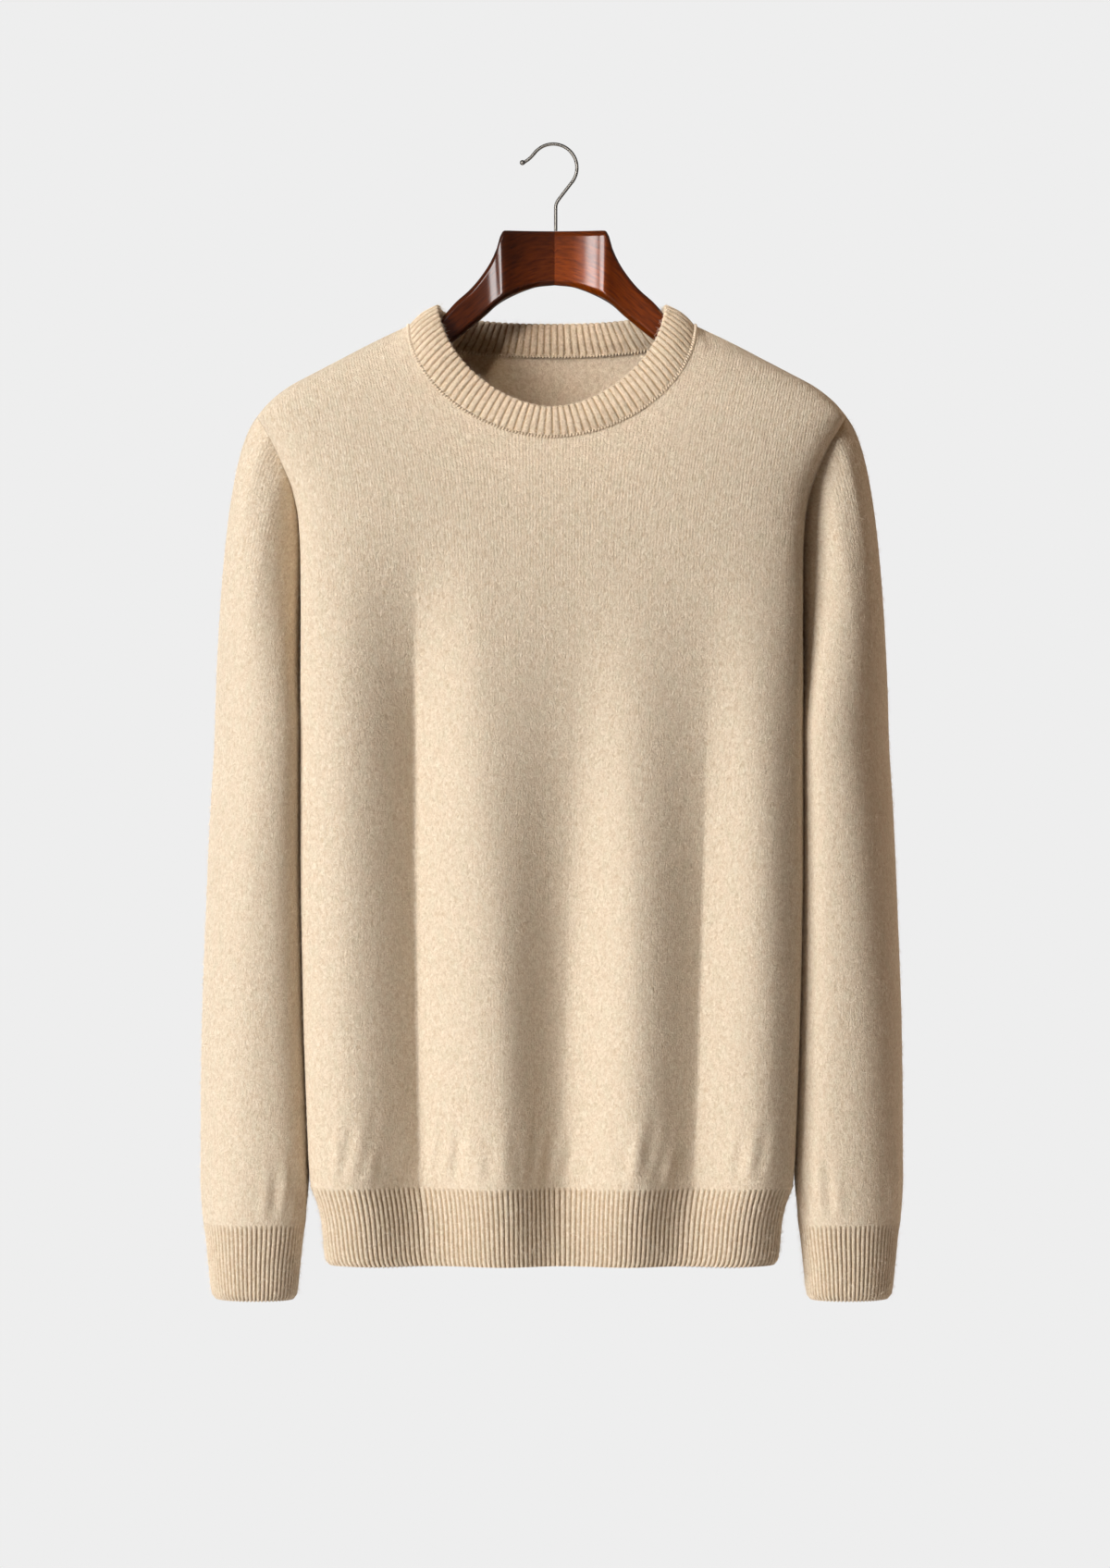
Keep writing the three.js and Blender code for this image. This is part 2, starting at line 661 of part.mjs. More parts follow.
function mirrored(grid) {
  return grid.map((row) => row.map((point) => new THREE.Vector3(-point.x, point.y, point.z)));
}

// ---- The neckband ---------------------------------------------------------------

const BAND_TOP = { x: 82, z: -115, y: -4.3 };
const BAND_DEPTH_POWER = 3;      // the band crosses the hanger's arm almost level
const BAND_FRONT = { drop: 76, deep: -42, power: 1.75 };
const BAND_BACK = { drop: 10.5, deep: 34, power: 2.2 };

function bandTopPoint(part, turn) {
  const across = ovalPart(Math.cos(turn), part.power);
  const down = ovalPart(Math.sin(turn), part.power);
  const deep = part.deep * ovalPart(Math.sin(turn), BAND_DEPTH_POWER);
  return new THREE.Vector3(-BAND_TOP.x * across, BAND_TOP.y + deep, BAND_TOP.z - part.drop * down);
}

// Points round the neck: on the seam, on the band's top edge, and the way that the
// cloth leads across the seam.
function bandPairs(frontGrid, backGrid) {
  const pairs = [];
  const add = (panel, part, grid, k) => {
    const r = grid.length - 1;
    const c = SHOULDER_COLUMNS + k;
    const normal = gridNormals(grid, panel.face, false, () => false)[r][c];
    const top = bandTopPoint(part, (Math.PI * k) / panel.neckColumns);
    pairs.push({ seam: grid[r][c], top, over: necklineDirection(grid, normal, r, c) });
  };
  for (let k = 0; k < FRONT.neckColumns; k += 1) add(FRONT, BAND_FRONT, frontGrid, k);
  for (let k = BACK.neckColumns; k > 0; k -= 1) add(BACK, BAND_BACK, backGrid, k);
  return pairs;
}

// The band's section: up the outer face, over the rounded top, down the inner face.
// up is the share of the height, in is the distance in from the outer face.
const BAND_SECTION = [
  { up: 0, in: 0 },
  { up: 0.5, in: -0.8 },
  { up: 0.92, in: 0 },
  { up: 1, in: 0.5 * BAND_WALL },
  { up: 0.92, in: BAND_WALL },
  { up: 0.5, in: BAND_WALL },
  { up: 0, in: BAND_WALL },
];

// One section of the band for each column of the neckline, in order round the neck.
function neckbandRings(frontGrid, backGrid) {
  const pairs = bandPairs(frontGrid, backGrid);
  return pairs.map(({ seam, top, over }, k) => {
    const before = pairs[(k + pairs.length - 1) % pairs.length].seam;
    const after = pairs[(k + 1) % pairs.length].seam;
    const rise = top.clone().sub(seam);
    const outward = after.clone().sub(before).cross(rise).normalize();
    return BAND_SECTION.map((row) => {
      const point = seam.clone().addScaledVector(rise, row.up).addScaledVector(outward, -row.in);
      const short = BAND_GAP - point.clone().sub(seam).dot(over);
      return short > 0 ? point.addScaledVector(over, short) : point;
    });
  });
}

// ---- The hanger -----------------------------------------------------------------

// Each section is a rectangle with its corners cut off.
function armRings(side) {
  return HANGER_ARM.map((row) => {
    const y = -HANGER_SWEEP * row.x;
    const cut = Math.min(ARM_CHAMFER, (row.top - row.bottom) / 3);
    const corners = [
      [-row.half, row.bottom + cut], [-row.half, row.top - cut],
      [-row.half + cut, row.top], [row.half - cut, row.top],
      [row.half, row.top - cut], [row.half, row.bottom + cut],
      [row.half - cut, row.bottom], [-row.half + cut, row.bottom],
    ];
    return corners.map(([out, z]) => new THREE.Vector3(side * row.x, y + out, z));
  });
}

// Places along the ball, in radii from its middle, and joints that lead in and out of the
// bend, as shares of the way.
const BALL_STATIONS = [-0.97, -0.8, -0.45, 0, 0.45, 0.72];
const NECK_SHARES = [0.3, 0.5, 0.75];
const KINK_SHARE = 0.85;
const STEM_BEND = 2;

// The wire's centre line with its radius: the ball, the bend and the stem.
function hookStations() {
  const stations = [];
  const bend = (degrees) => {
    const angle = THREE.MathUtils.degToRad(degrees);
    return { x: HOOK_RADIUS * Math.cos(angle), z: HOOK_CENTRE_Z + HOOK_RADIUS * Math.sin(angle) };
  };
  const start = bend(HOOK_START);
  const reach = Math.hypot(BALL_LEAD.x, BALL_LEAD.z);
  for (const along of BALL_STATIONS) {
    const share = (along * BALL_RADIUS) / reach;
    const radius = BALL_RADIUS * Math.sqrt(1 - along * along);
    const x = BALL_PLACE.x + share * BALL_LEAD.x;
    stations.push({ x, z: BALL_PLACE.z + share * BALL_LEAD.z, radius });
  }
  const wire = (x, z) => stations.push({ x, z, radius: WIRE_RADIUS });
  const angle = THREE.MathUtils.degToRad(HOOK_START);
  const pull = { x: BEND_LEAD * Math.sin(angle), z: -BEND_LEAD * Math.cos(angle) };
  for (const t of NECK_SHARES) {
    wire(hermite(BALL_PLACE.x, BALL_LEAD.x, start.x, pull.x, t),
      hermite(BALL_PLACE.z, BALL_LEAD.z, start.z, pull.z, t));
  }
  for (let k = 0; k <= BEND_STEPS; k += 1) {
    const place = bend(mix(HOOK_START, HOOK_END, k / BEND_STEPS));
    wire(place.x, place.z);
  }
  const end = bend(HOOK_END);
  wire(mix(end.x, STEM_X, KINK_SHARE), mix(end.z, STEM_TOP_Z, KINK_SHARE));
  wire(STEM_X, STEM_TOP_Z - STEM_BEND);
  wire(STEM_X, STEM_FOOT_Z);
  return stations;
}

function hookRings() {
  const stations = hookStations();
  return stations.map((station, k) => {
    const before = stations[Math.max(k - 1, 0)];
    const after = stations[Math.min(k + 1, stations.length - 1)];
    const forward = new THREE.Vector3(after.x - before.x, 0, after.z - before.z).normalize();
    const sideways = new THREE.Vector3(0, 1, 0);
    const level = forward.clone().cross(sideways);
    const ring = [];
    for (let s = 0; s < WIRE_SIDES; s += 1) {
      const turn = (2 * Math.PI * s) / WIRE_SIDES;
      ring.push(new THREE.Vector3(station.x, 0, station.z)
        .addScaledVector(sideways, station.radius * Math.sin(turn))
        .addScaledVector(level, station.radius * Math.cos(turn)));
    }
    return ring;
  });
}

// ---- Materials and the scene graph -------------------------------------------------

const KNIT = { color: 0xd8c6ae, roughness: 0.95, metalness: 0 };
const RIB = { color: 0xd2bfa6, roughness: 0.95, metalness: 0 };
const WOOD = { color: 0x5a2414, roughness: 0.25, metalness: 0 };
const METAL = { color: 0xb9b4ac, roughness: 0.3, metalness: 1 };

function piece(name, geometry, look) {
  const mesh = new THREE.Mesh(geometry, new THREE.MeshStandardMaterial(look));
  mesh.name = name;
  return mesh;
}

function makeGarment() {
  const garment = new THREE.Group();
  garment.position.x = GARMENT_SHIFT_X;
  const frontGrid = panelGrid(FRONT);
  const backGrid = panelGrid(BACK);
  const isFirst = (r) => r === 0;
  const isAny = () => true;
  garment.add(piece('front_panel', panelWall(FRONT, frontGrid, KNIT_WALL, isFirst), KNIT));
  garment.add(piece('back_panel', panelWall(BACK, backGrid, KNIT_WALL, isFirst), KNIT));
  garment.add(piece('hem_rib_front', panelWall(FRONT, hemGrid(FRONT), RIB_WALL, isAny), RIB));
  garment.add(piece('hem_rib_back', panelWall(BACK, hemGrid(BACK), RIB_WALL, isAny), RIB));
  garment.add(piece('neckband', loftGeometry(neckbandRings(frontGrid, backGrid), true), RIB));

  const loop = armholeLoop(frontGrid, backGrid);
  const keepBack = (inner, r, c) => {
    if (r > 0) return;
    const short = SEAM_GAP - inner.clone().sub(loop[c].point).dot(loop[c].outward);
    if (short > 0) inner.addScaledVector(loop[c].outward, short);
  };
  const sleeveRows = sleeveGrid(loop);
  const isLevel = (r) => r === CAP_ROWS || r === sleeveRows.length - 1;
  const sleeve = tubeWall(sleeveRows, KNIT_WALL, isLevel, keepBack);
  const outerParts = parted(sleeve.outer);
  const innerParts = parted(sleeve.inner);
  for (const part of ['upper', 'lower']) {
    const outer = outerParts[part];
    const inner = innerParts[part];
    garment.add(piece(`sleeve_left_${part}`, wallGeometry(outer, inner, true), KNIT));
    garment.add(piece(`sleeve_right_${part}`, wallGeometry(mirrored(outer), mirrored(inner), true), KNIT));
  }

  const cuff = tubeWall(CUFF.map(({ z }) => sleeveRing(CUFF, z)).reverse(), RIB_WALL, isAny);
  garment.add(piece('cuff_left', wallGeometry(cuff.outer, cuff.inner, true), RIB));
  garment.add(piece('cuff_right', wallGeometry(mirrored(cuff.outer), mirrored(cuff.inner), true), RIB));
  return garment;
}

function makeHanger() {
  const hanger = new THREE.Group();
  const arms = new THREE.Group();
  arms.position.x = ARMS_SHIFT_X;
  arms.add(piece('hanger_arm_left', loftGeometry(armRings(1), false), WOOD));
  arms.add(piece('hanger_arm_right', loftGeometry(armRings(-1), false), WOOD));
  hanger.add(arms, piece('hook', loftGeometry(hookRings(), false), METAL));
  return hanger;
}

const sweaterOnHanger = new THREE.Group();
sweaterOnHanger.add(makeGarment(), makeHanger());
export default sweaterOnHanger;
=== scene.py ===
"""A crewneck sweater in brushed marl wool, hanging on a varnished wooden hanger.

The shapes are worked out in millimetres from the tables below and turned to metres when a
mesh is made. +Z is up, the front of the sweater faces -Y, +X is the wearer's left, and the
origin is the inside crown of the hook.
"""

import math
import bmesh
import bpy
import numpy as np
from mathutils import Matrix, Vector


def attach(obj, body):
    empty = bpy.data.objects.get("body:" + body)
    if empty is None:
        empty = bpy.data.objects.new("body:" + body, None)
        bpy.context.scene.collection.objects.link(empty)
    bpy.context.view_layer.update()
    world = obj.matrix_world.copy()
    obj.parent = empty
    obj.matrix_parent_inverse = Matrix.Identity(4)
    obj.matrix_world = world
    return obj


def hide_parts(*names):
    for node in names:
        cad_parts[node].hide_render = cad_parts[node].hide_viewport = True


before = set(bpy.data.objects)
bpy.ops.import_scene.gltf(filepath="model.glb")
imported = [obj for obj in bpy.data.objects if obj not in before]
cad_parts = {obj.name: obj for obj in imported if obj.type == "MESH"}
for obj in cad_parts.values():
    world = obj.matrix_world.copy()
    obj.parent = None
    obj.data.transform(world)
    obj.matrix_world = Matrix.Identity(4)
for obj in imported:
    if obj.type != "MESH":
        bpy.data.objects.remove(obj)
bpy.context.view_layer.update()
MM = 0.001


def put_in_scene(name, data):
    """An object for a mesh, a light or a camera."""
    made = bpy.data.objects.new(name, data)
    bpy.context.scene.collection.objects.link(made)
    return made


# ---- Camera ----

CAMERA_DISTANCE = 3600
CAMERA_SIDE = 1.3
CAMERA_HEIGHT = -460
VIEW_HEIGHT = 1130  # height of the view, measured at the sweater
SENSOR = 36


def make_camera():
    data = bpy.data.cameras.new("camera")
    data.sensor_fit = "VERTICAL"
    data.sensor_height = SENSOR
    data.lens = SENSOR * CAMERA_DISTANCE / VIEW_HEIGHT
    camera = put_in_scene("camera", data)
    camera.location = Vector((CAMERA_SIDE, -CAMERA_DISTANCE, CAMERA_HEIGHT)) * MM
    camera.rotation_euler = (math.pi / 2, 0, 0)
    bpy.context.scene.camera = camera


# ---- Sizes ----

def table(names, *rows):
    """Columns of numbers by name, in millimetres. The first one rises from row to row."""
    return dict(zip(names.split(), np.array(rows, float).T))


KNIT_WALL = 2
RIB_WALL = 2.2
BAND_WALL = 5.2  # two layers, rounded over the band's top edge
SEAM_GAP = 0.3

HEM_SEAM_Z = -748
HEM_EDGE_Z = -804
UNDERARM_Z = -400
SHOULDER_Z = -196
NECK_POINT_Z = -130
CUFF_SEAM_Z = -775
CUFF_EDGE_Z = -830
GARMENT_X = -1  # middle of the sweater
ARMS_X = 1  # middle of the hanger's arms
BLOCK_CORNER = 37  # where the middle block's top corner is

SIDE_SEAM = table(
    "z x y",
    (HEM_SEAM_Z, 173.5, 2), (-735, 174.8, 2.3), (-700, 176.3, 3), (-600, 179.5, 4), (-500, 181, 5),
    (UNDERARM_Z, 181, 5))
PARTING_LINE = table("z y", (UNDERARM_Z, 5), (-300, 1), (SHOULDER_Z, -9.5))
FRONT_ARMHOLE = table(
    "z x y",
    (UNDERARM_Z, 181, 5), (-388, 181, 4), (-350, 180.8, -2), (-300, 180.8, -8), (-271, 182, -13),
    (-251, 185.5, -19), (-232, 192.5, -25), (-212, 202, -26), (-203, 207.5, -20), (SHOULDER_Z, 212, -9.5))
BACK_ARMHOLE = table(
    "z x y",
    (UNDERARM_Z, 181, 5), (-385, 180.5, 18), (-345, 179, 30), (-300, 179.5, 34), (-255, 187, 31),
    (-225, 197, 23), (-206, 206, 9), (SHOULDER_Z, 212, -9.5))
SHOULDER_SEAM = table(
    "z x y",
    (SHOULDER_Z, 212, -9.5), (-186, 203.5, -9.2), (-175, 190, -8.6), (-164, 170, -7.7),
    (-154, 151, -6.8), (-143, 130, -5.9), (NECK_POINT_Z, 103, -4.6))

# Depth of the front and of the back at the centre, with the power of the section's oval: 2 is
# an ellipse, more is squarer.
CENTRE_LINE = table(
    "z front back power",
    (HEM_SEAM_Z, -51, 49, 5.5), (-650, -53, 51, 6), (-500, -54, 52, 6), (UNDERARM_Z, -54, 52, 6),
    (-345, -53.5, 51.5, 6), (-300, -53, 51, 6), (-250, -52, 50, 5.5), (-213, -49, 48, 4.6),
    (-180, -42, 43, 3.8), (-160, -35, 37, 3.3), (-148, -29, 32, 3), (NECK_POINT_Z, -19, 24, 2.8))
HEM_RIB = table(
    "z x y front back",
    (HEM_EDGE_Z, 160, 0, -46, 44), (-801, 162.3, 0, -46.5, 44.5), (-795, 163.4, 0.3, -47.5, 45.5),
    (-775, 165.2, 1, -50, 48), (-762, 168, 1.5, -51, 49), (-755, 170.6, 1.8, -51, 49),
    (HEM_SEAM_Z, 173.5, 2, -51, 49))

# Soft folds that open downwards, from -X to +X. top and foot are the fold's place at the chest
# and at the hem, out is how far the cloth stands out there, opens and full are the levels at
# which the fold begins and has its whole height, and crease is 1 for a sharp trough.
FRONT_FOLDS = table(
    "top foot out opens full crease",
    (-181, -181, 0, -240, -500, 0),
    (-151, -150, 4, -250, -430, 0),
    (-98, -98, -22, -250, -450, 1),
    (-50, -38, 6, -270, -500, 0),
    (20, 8, -18, -290, -640, 0.1),
    (60, 62, 6, -280, -560, 0),
    (112, 105, -14, -270, -600, 0.6),
    (149, 154, 6, -270, -500, 0),
    (181, 181, 0, -240, -500, 0))
BACK_FOLDS = table(
    "top foot out opens full crease",
    (-181, -181, 0, -240, -500, 0),
    (-150, -148, 2, -260, -540, 0),
    (-118, -110, -9, -270, -560, 0.3),
    (-60, -66, 4, -300, -580, 0),
    (-30, -20, -11, -300, -640, 0.6),
    (22, 32, 4, -300, -600, 0),
    (84, 70, -10, -280, -560, 0.2),
    (128, 120, 3, -280, -560, 0),
    (181, 181, 0, -240, -500, 0))
FOLD_HALF_WIDTH = 181
CREASE_FADE = 140  # a sharp trough grows soft again this far above the hem's edge

SLEEVE = table(
    "z outX inX y half tilt",
    (CUFF_SEAM_Z, 251.5, 177, -2, 38, 0.12), (-740, 253.5, 174.2, -1, 40, 0.15),
    (-690, 253.5, 175.4, 0, 42, 0.18), (-630, 252.8, 177.2, 1, 45, 0.2), (-560, 250.5, 178.8, 2, 47, 0.24),
    (-495, 248, 179.5, 3, 49, 0.28), (-430, 244.5, 179.5, 5, 50, 0.35))
CUFF = table(
    "z outX inX y half tilt",
    (CUFF_EDGE_Z, 242.5, 185.5, -4, 28, 0.1), (-827.5, 244.8, 183.3, -4, 30.5, 0.1),
    (-806, 247.6, 180.8, -3, 33.5, 0.1), (-784, 250, 178.4, -2, 37, 0.12),
    (CUFF_SEAM_Z, 251.5, 177, -2, 38, 0.12))

# ---- Curves ----


def mix(a, b, t):
    return a + (b - a) * t


def ease(t):
    t = np.clip(t, 0, 1)
    return t * t * (3 - 2 * t)


def hermite(start, start_tangent, end, end_tangent, t):
    t2, t3 = t * t, t * t * t
    return ((2 * t3 - 3 * t2 + 1) * start + (t3 - 2 * t2 + t) * start_tangent
            + (3 * t2 - 2 * t3) * end + (t3 - t2) * end_tangent)


def read_table(rows, column, level):
    """A column at any value of the first, by a smooth curve that never overshoots the rows."""
    at, value = next(iter(rows.values())), rows[column]
    slope = np.diff(value) / np.diff(at)
    tangent = np.empty_like(value)
    tangent[0], tangent[-1] = slope[0], slope[-1]
    product, total = slope[:-1] * slope[1:], slope[:-1] + slope[1:]
    tangent[1:-1] = np.where(product > 0, 2 * product / np.where(product > 0, total, 1), 0)
    level = np.clip(level, at[0], at[-1])
    k = np.clip(np.searchsorted(at, level) - 1, 0, len(at) - 2)
    span = at[k + 1] - at[k]
    return hermite(value[k], tangent[k] * span, value[k + 1], tangent[k + 1] * span, (level - at[k]) / span)


def oval_part(value, power):
    """A cosine or sine raised so that an ellipse becomes a squarer oval."""
    return np.sign(value) * np.abs(value) ** (2 / power)


def unit(vectors):
    return vectors / np.maximum(np.linalg.norm(vectors, axis=-1, keepdims=True), 1e-9)


def stack(x, y, z):
    return np.stack(np.broadcast_arrays(x, y, z), axis=-1).astype(float)


def softened(values, passes, around=False):
    """Rows with each one moved towards its two neighbours, the ends held unless it goes round."""
    values = np.array(values, float)
    for _ in range(passes):
        if around:
            values = (np.roll(values, 1, 0) + 2 * values + np.roll(values, -1, 0)) / 4
        else:
            values[1:-1] = (values[:-2] + 2 * values[1:-1] + values[2:]) / 4
    return values


def grid_normals(points, around=False):
    """Unit normals of a grid of points: along a row crossed with from row to row."""
    if around:
        across = np.roll(points, -1, 1) - np.roll(points, 1, 1)
    else:
        across = np.gradient(points, axis=1)
    return unit(np.cross(across, np.gradient(points, axis=0)))


def lengths_along(points, axis):
    """Distance along the cloth from the first row or column."""
    steps = np.linalg.norm(np.diff(points, axis=axis), axis=-1)
    start = np.zeros_like(np.take(steps, [0], axis=axis))
    return np.concatenate([start, np.cumsum(steps, axis=axis)], axis=axis)


def points_at(wanted, along, line):
    """The line's points at the wanted distances, where along holds the distance of each point."""
    return np.stack([np.interp(wanted, along, line[:, k]) for k in range(3)], axis=-1)


def looped(points, axis=0):
    """Points with the first row, or column for axis 1, repeated as the last."""
    return np.concatenate([points, np.take(points, [0], axis=axis)], axis=axis)


def evenly_spaced(line, count):
    """The same line through new points at equal steps."""
    along = lengths_along(line, 0)
    return points_at(np.linspace(0, along[-1], count), along, line)


def places(across, along):
    """Places on the cloth, from how far across and how far along it each one lies."""
    return np.stack(np.broadcast_arrays(across, along), axis=-1)


# ---- Meshes ----


def mesh_from(name, bm):
    mesh = bpy.data.meshes.new(name)
    bm.to_mesh(mesh)
    bm.free()
    return mesh


def finished(name, mesh, material):
    """The object of a mesh, riding on the one body of the part."""
    mesh.materials.append(material)
    made = put_in_scene(name, mesh)
    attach(made, "root")
    return made


def grid_piece(name, points, cloth, material, joined=False, groove=None):
    """A piece from a flat grid whose vertices are moved to their points. cloth holds the place of
    each point on the knitted cloth, in millimetres, and becomes the piece's UV map. groove tells
    how deep in a groove each point lies, from 0 to 1. Edges that meet can be joined."""
    rows, columns = points.shape[:2]
    bm = bmesh.new()
    uv_layer = bm.loops.layers.uv.new("cloth")
    groove_layer = bm.verts.layers.float.new("groove")
    bmesh.ops.create_grid(bm, x_segments=columns - 1, y_segments=rows - 1, size=1)
    place = {}
    for vert in bm.verts:
        column = round((vert.co.x + 1) / 2 * (columns - 1))
        row = round((vert.co.y + 1) / 2 * (rows - 1))
        place[vert.index] = cloth[row, column]
        vert.co = points[row, column] * MM
        if groove is not None:
            vert[groove_layer] = groove[row, column]
    for face in bm.faces:
        face.smooth = True
        for loop in face.loops:
            loop[uv_layer].uv = place[loop.vert.index]
    if joined:
        bmesh.ops.remove_doubles(bm, verts=bm.verts, dist=1e-6)
    for edge in bm.edges:
        edge.smooth = not edge.is_boundary
    return finished(name, mesh_from(name, bm), material)


def wall(piece, thickness, inner=None):
    """The sheet with its thickness, inwards, and maybe a material of its own on the inner side."""
    solidify = piece.modifiers.new("wall", "SOLIDIFY")
    if inner:
        piece.data.materials.append(inner)
        solidify.material_offset = 1
    solidify.thickness = thickness * MM
    solidify.offset = -1
    solidify.use_rim = True
    return piece


def moved_to_place(points):
    return points + np.array([GARMENT_X, 0, 0])


def in_place(turned, points, *grids):
    """Points moved to the sweater's place, and all the grids turned to run the other way where
    the piece would face inwards."""
    grids = [moved_to_place(points), *grids]
    return [grid[:, ::-1] for grid in grids] if turned else grids


def ends_closed(piece, sides):
    """A tube's mesh as a bmesh, its ends filled and its faces turned outwards."""
    bm = bmesh.new()
    bm.from_mesh(piece.data)
    bmesh.ops.holes_fill(bm, edges=bm.edges, sides=sides)
    if bm.calc_volume(signed=True) < 0:
        bmesh.ops.reverse_faces(bm, faces=bm.faces)
    return bm


# ---- Materials ----


def rgb(text):
    """The linear colour of an sRGB hex value."""
    parts = [int(text[k:k + 2], 16) / 255 for k in (0, 2, 4)]
    return [c / 12.92 if c <= 0.04045 else ((c + 0.055) / 1.055) ** 2.4 for c in parts] + [1]


def add(tree, kind, inputs=None, **settings):
    """Adds a shader node. An input takes a value, or another node's output to be linked."""
    made = tree.nodes.new("ShaderNode" + kind)
    for name, value in settings.items():
        setattr(made, name, value)
    for name, value in (inputs or {}).items():
        if isinstance(value, bpy.types.NodeSocket):
            tree.links.new(value, made.inputs[name])
        else:
            made.inputs[name].default_value = value
    return made


def new_material(name):
    material = bpy.data.materials.new(name)
    material.use_nodes = True
    tree = material.node_tree
    tree.nodes.clear()
    return material, tree


def finish_material(tree, shader):
    output = add(tree, "OutputMaterial")
    tree.links.new(shader.outputs[0], output.inputs["Surface"])


WALE = 2.1  # width of one column of stitches, drawn coarse enough to show
WALES_FULL_Z, WALES_FAINT_Z = -210, -350
WALES_FAINT_SHARE = 0.25  # share of their depth that the wales keep low down
WOOL_PALE = "FBEFDC"
WOOL_MIDDLE = "E8D7BF"
WOOL_PINK = "EAD6BE"
WOOL_GREY = "E3D7BE"
WOOL_DARK = "C2A887"


def mottling(tree, surface, across, along, detail, roughness=0.6, tangle=0):
    """Uneven patches on a surface, across by along millimetres, pulled about by tangle."""
    at = add(tree, "Mapping", {"Vector": surface, "Scale": (1 / across, 1 / along, 1)})
    return add(tree, "TexNoise", {"Vector": at.outputs[0], "Scale": 1, "Detail": detail,
                                  "Roughness": roughness, "Distortion": tangle}).outputs["Fac"]


def set_stops(ramp, *stops):
    """Gives a colour ramp its stops, each a position and a hex colour."""
    elements = ramp.color_ramp.elements
    for element, (position, colour) in zip(elements, (stops[0], stops[-1])):
        element.position, element.color = position, rgb(colour)
    for position, colour in stops[1:-1]:
        elements.new(position).color = rgb(colour)


def wool_colour(tree, cloth):
    """Marl: cream, pinkish and grey-green fibres blended so closely that only soft patches and
    short flecks show. It makes the beige look alive close up and even from afar. The flecks are
    drawn coarser than real fibres, so that they show."""
    hue = add(tree, "ValToRGB", {"Fac": mottling(tree, cloth, 9, 14, 4)})
    set_stops(hue, (0.36, WOOL_GREY), (0.5, WOOL_MIDDLE), (0.64, WOOL_PINK))
    fleck = add(tree, "ValToRGB", {"Fac": mottling(tree, cloth, 2.4, 3.4, 4, 0.85, 0.9)})
    set_stops(fleck, (0.36, WOOL_DARK), (0.64, WOOL_PALE))
    both = add(tree, "Mix", {0: 0.55, 6: hue.outputs["Color"], 7: fleck.outputs["Color"]}, data_type="RGBA")
    return both.outputs[2]


def make_wool(name, wale_depth, groove=None):
    """Brushed marl wool: soft and matt, with a pale nap at grazing angles. The nap hides most of
    the stitches: their columns show at the shoulders and fade away down the body. In ribs the
    colour is painted darker towards the bottom of each groove: painted shade."""
    material, tree = new_material(name)
    cloth = add(tree, "UVMap", uv_map="cloth").outputs["UV"]
    colour = wool_colour(tree, cloth)
    # Painted shade: the colour is mixed towards the groove colour as deep as each point lies in its groove.
    if groove:
        depth = add(tree, "Attribute", attribute_name="groove").outputs["Fac"]
        colour = add(tree, "Mix", {0: depth, 6: colour, 7: rgb(groove)}, data_type="RGBA").outputs[2]
    level = add(tree, "SeparateXYZ", {0: add(tree, "TexCoord").outputs["Object"]}).outputs["Z"]
    shown = add(tree, "MapRange", {
        "Value": level, "From Min": WALES_FAINT_Z * MM, "From Max": WALES_FULL_Z * MM,
        "To Min": WALES_FAINT_SHARE * wale_depth, "To Max": wale_depth}).outputs["Result"]
    wales = add(tree, "TexWave", {"Vector": cloth, "Scale": math.pi / (10 * WALE), "Distortion": 1.5,
                                  "Detail": 1, "Detail Scale": 3}, bands_direction="X", wave_profile="SIN")
    fine = mottling(tree, cloth, 1.9, 2.6, 3, 0.8, 1.2)
    height = 0
    for part, depth in ((fine, 3.2), (mottling(tree, cloth, 5, 8, 2), 0.9), (wales.outputs["Fac"], shown)):
        height = add(tree, "Math", {0: part, 1: depth, 2: height}, operation="MULTIPLY_ADD").outputs[0]
    bump = add(tree, "Bump", {"Height": height, "Strength": 0.6, "Distance": 0.9 * MM})
    shader = add(tree, "BsdfPrincipled", {
        "Base Color": colour, "Roughness": 0.95, "Specular IOR Level": 0.1, "Normal": bump.outputs[0],
        "Sheen Weight": 0.25, "Sheen Roughness": 0.5, "Sheen Tint": rgb("FFF6EA")})
    finish_material(tree, shader)
    return material


WOOD_DARK = "451702"
WOOD_PALE = "A84A00"
# Painted shade on the wood, as a tone that changes along an axis from one place to another:
# darker on the -X side of the middle, darker out along the +X arm, and darker up to the top edge.
WOOD_PAINTED_SHADE = (("X", ARMS_X - BLOCK_CORNER, ARMS_X, 0.24, 0.42),
               ("X", ARMS_X + 20, ARMS_X + BLOCK_CORNER + 8, 0.86, 0.56),
               ("Z", -100, -62, 1.0, 0.55))


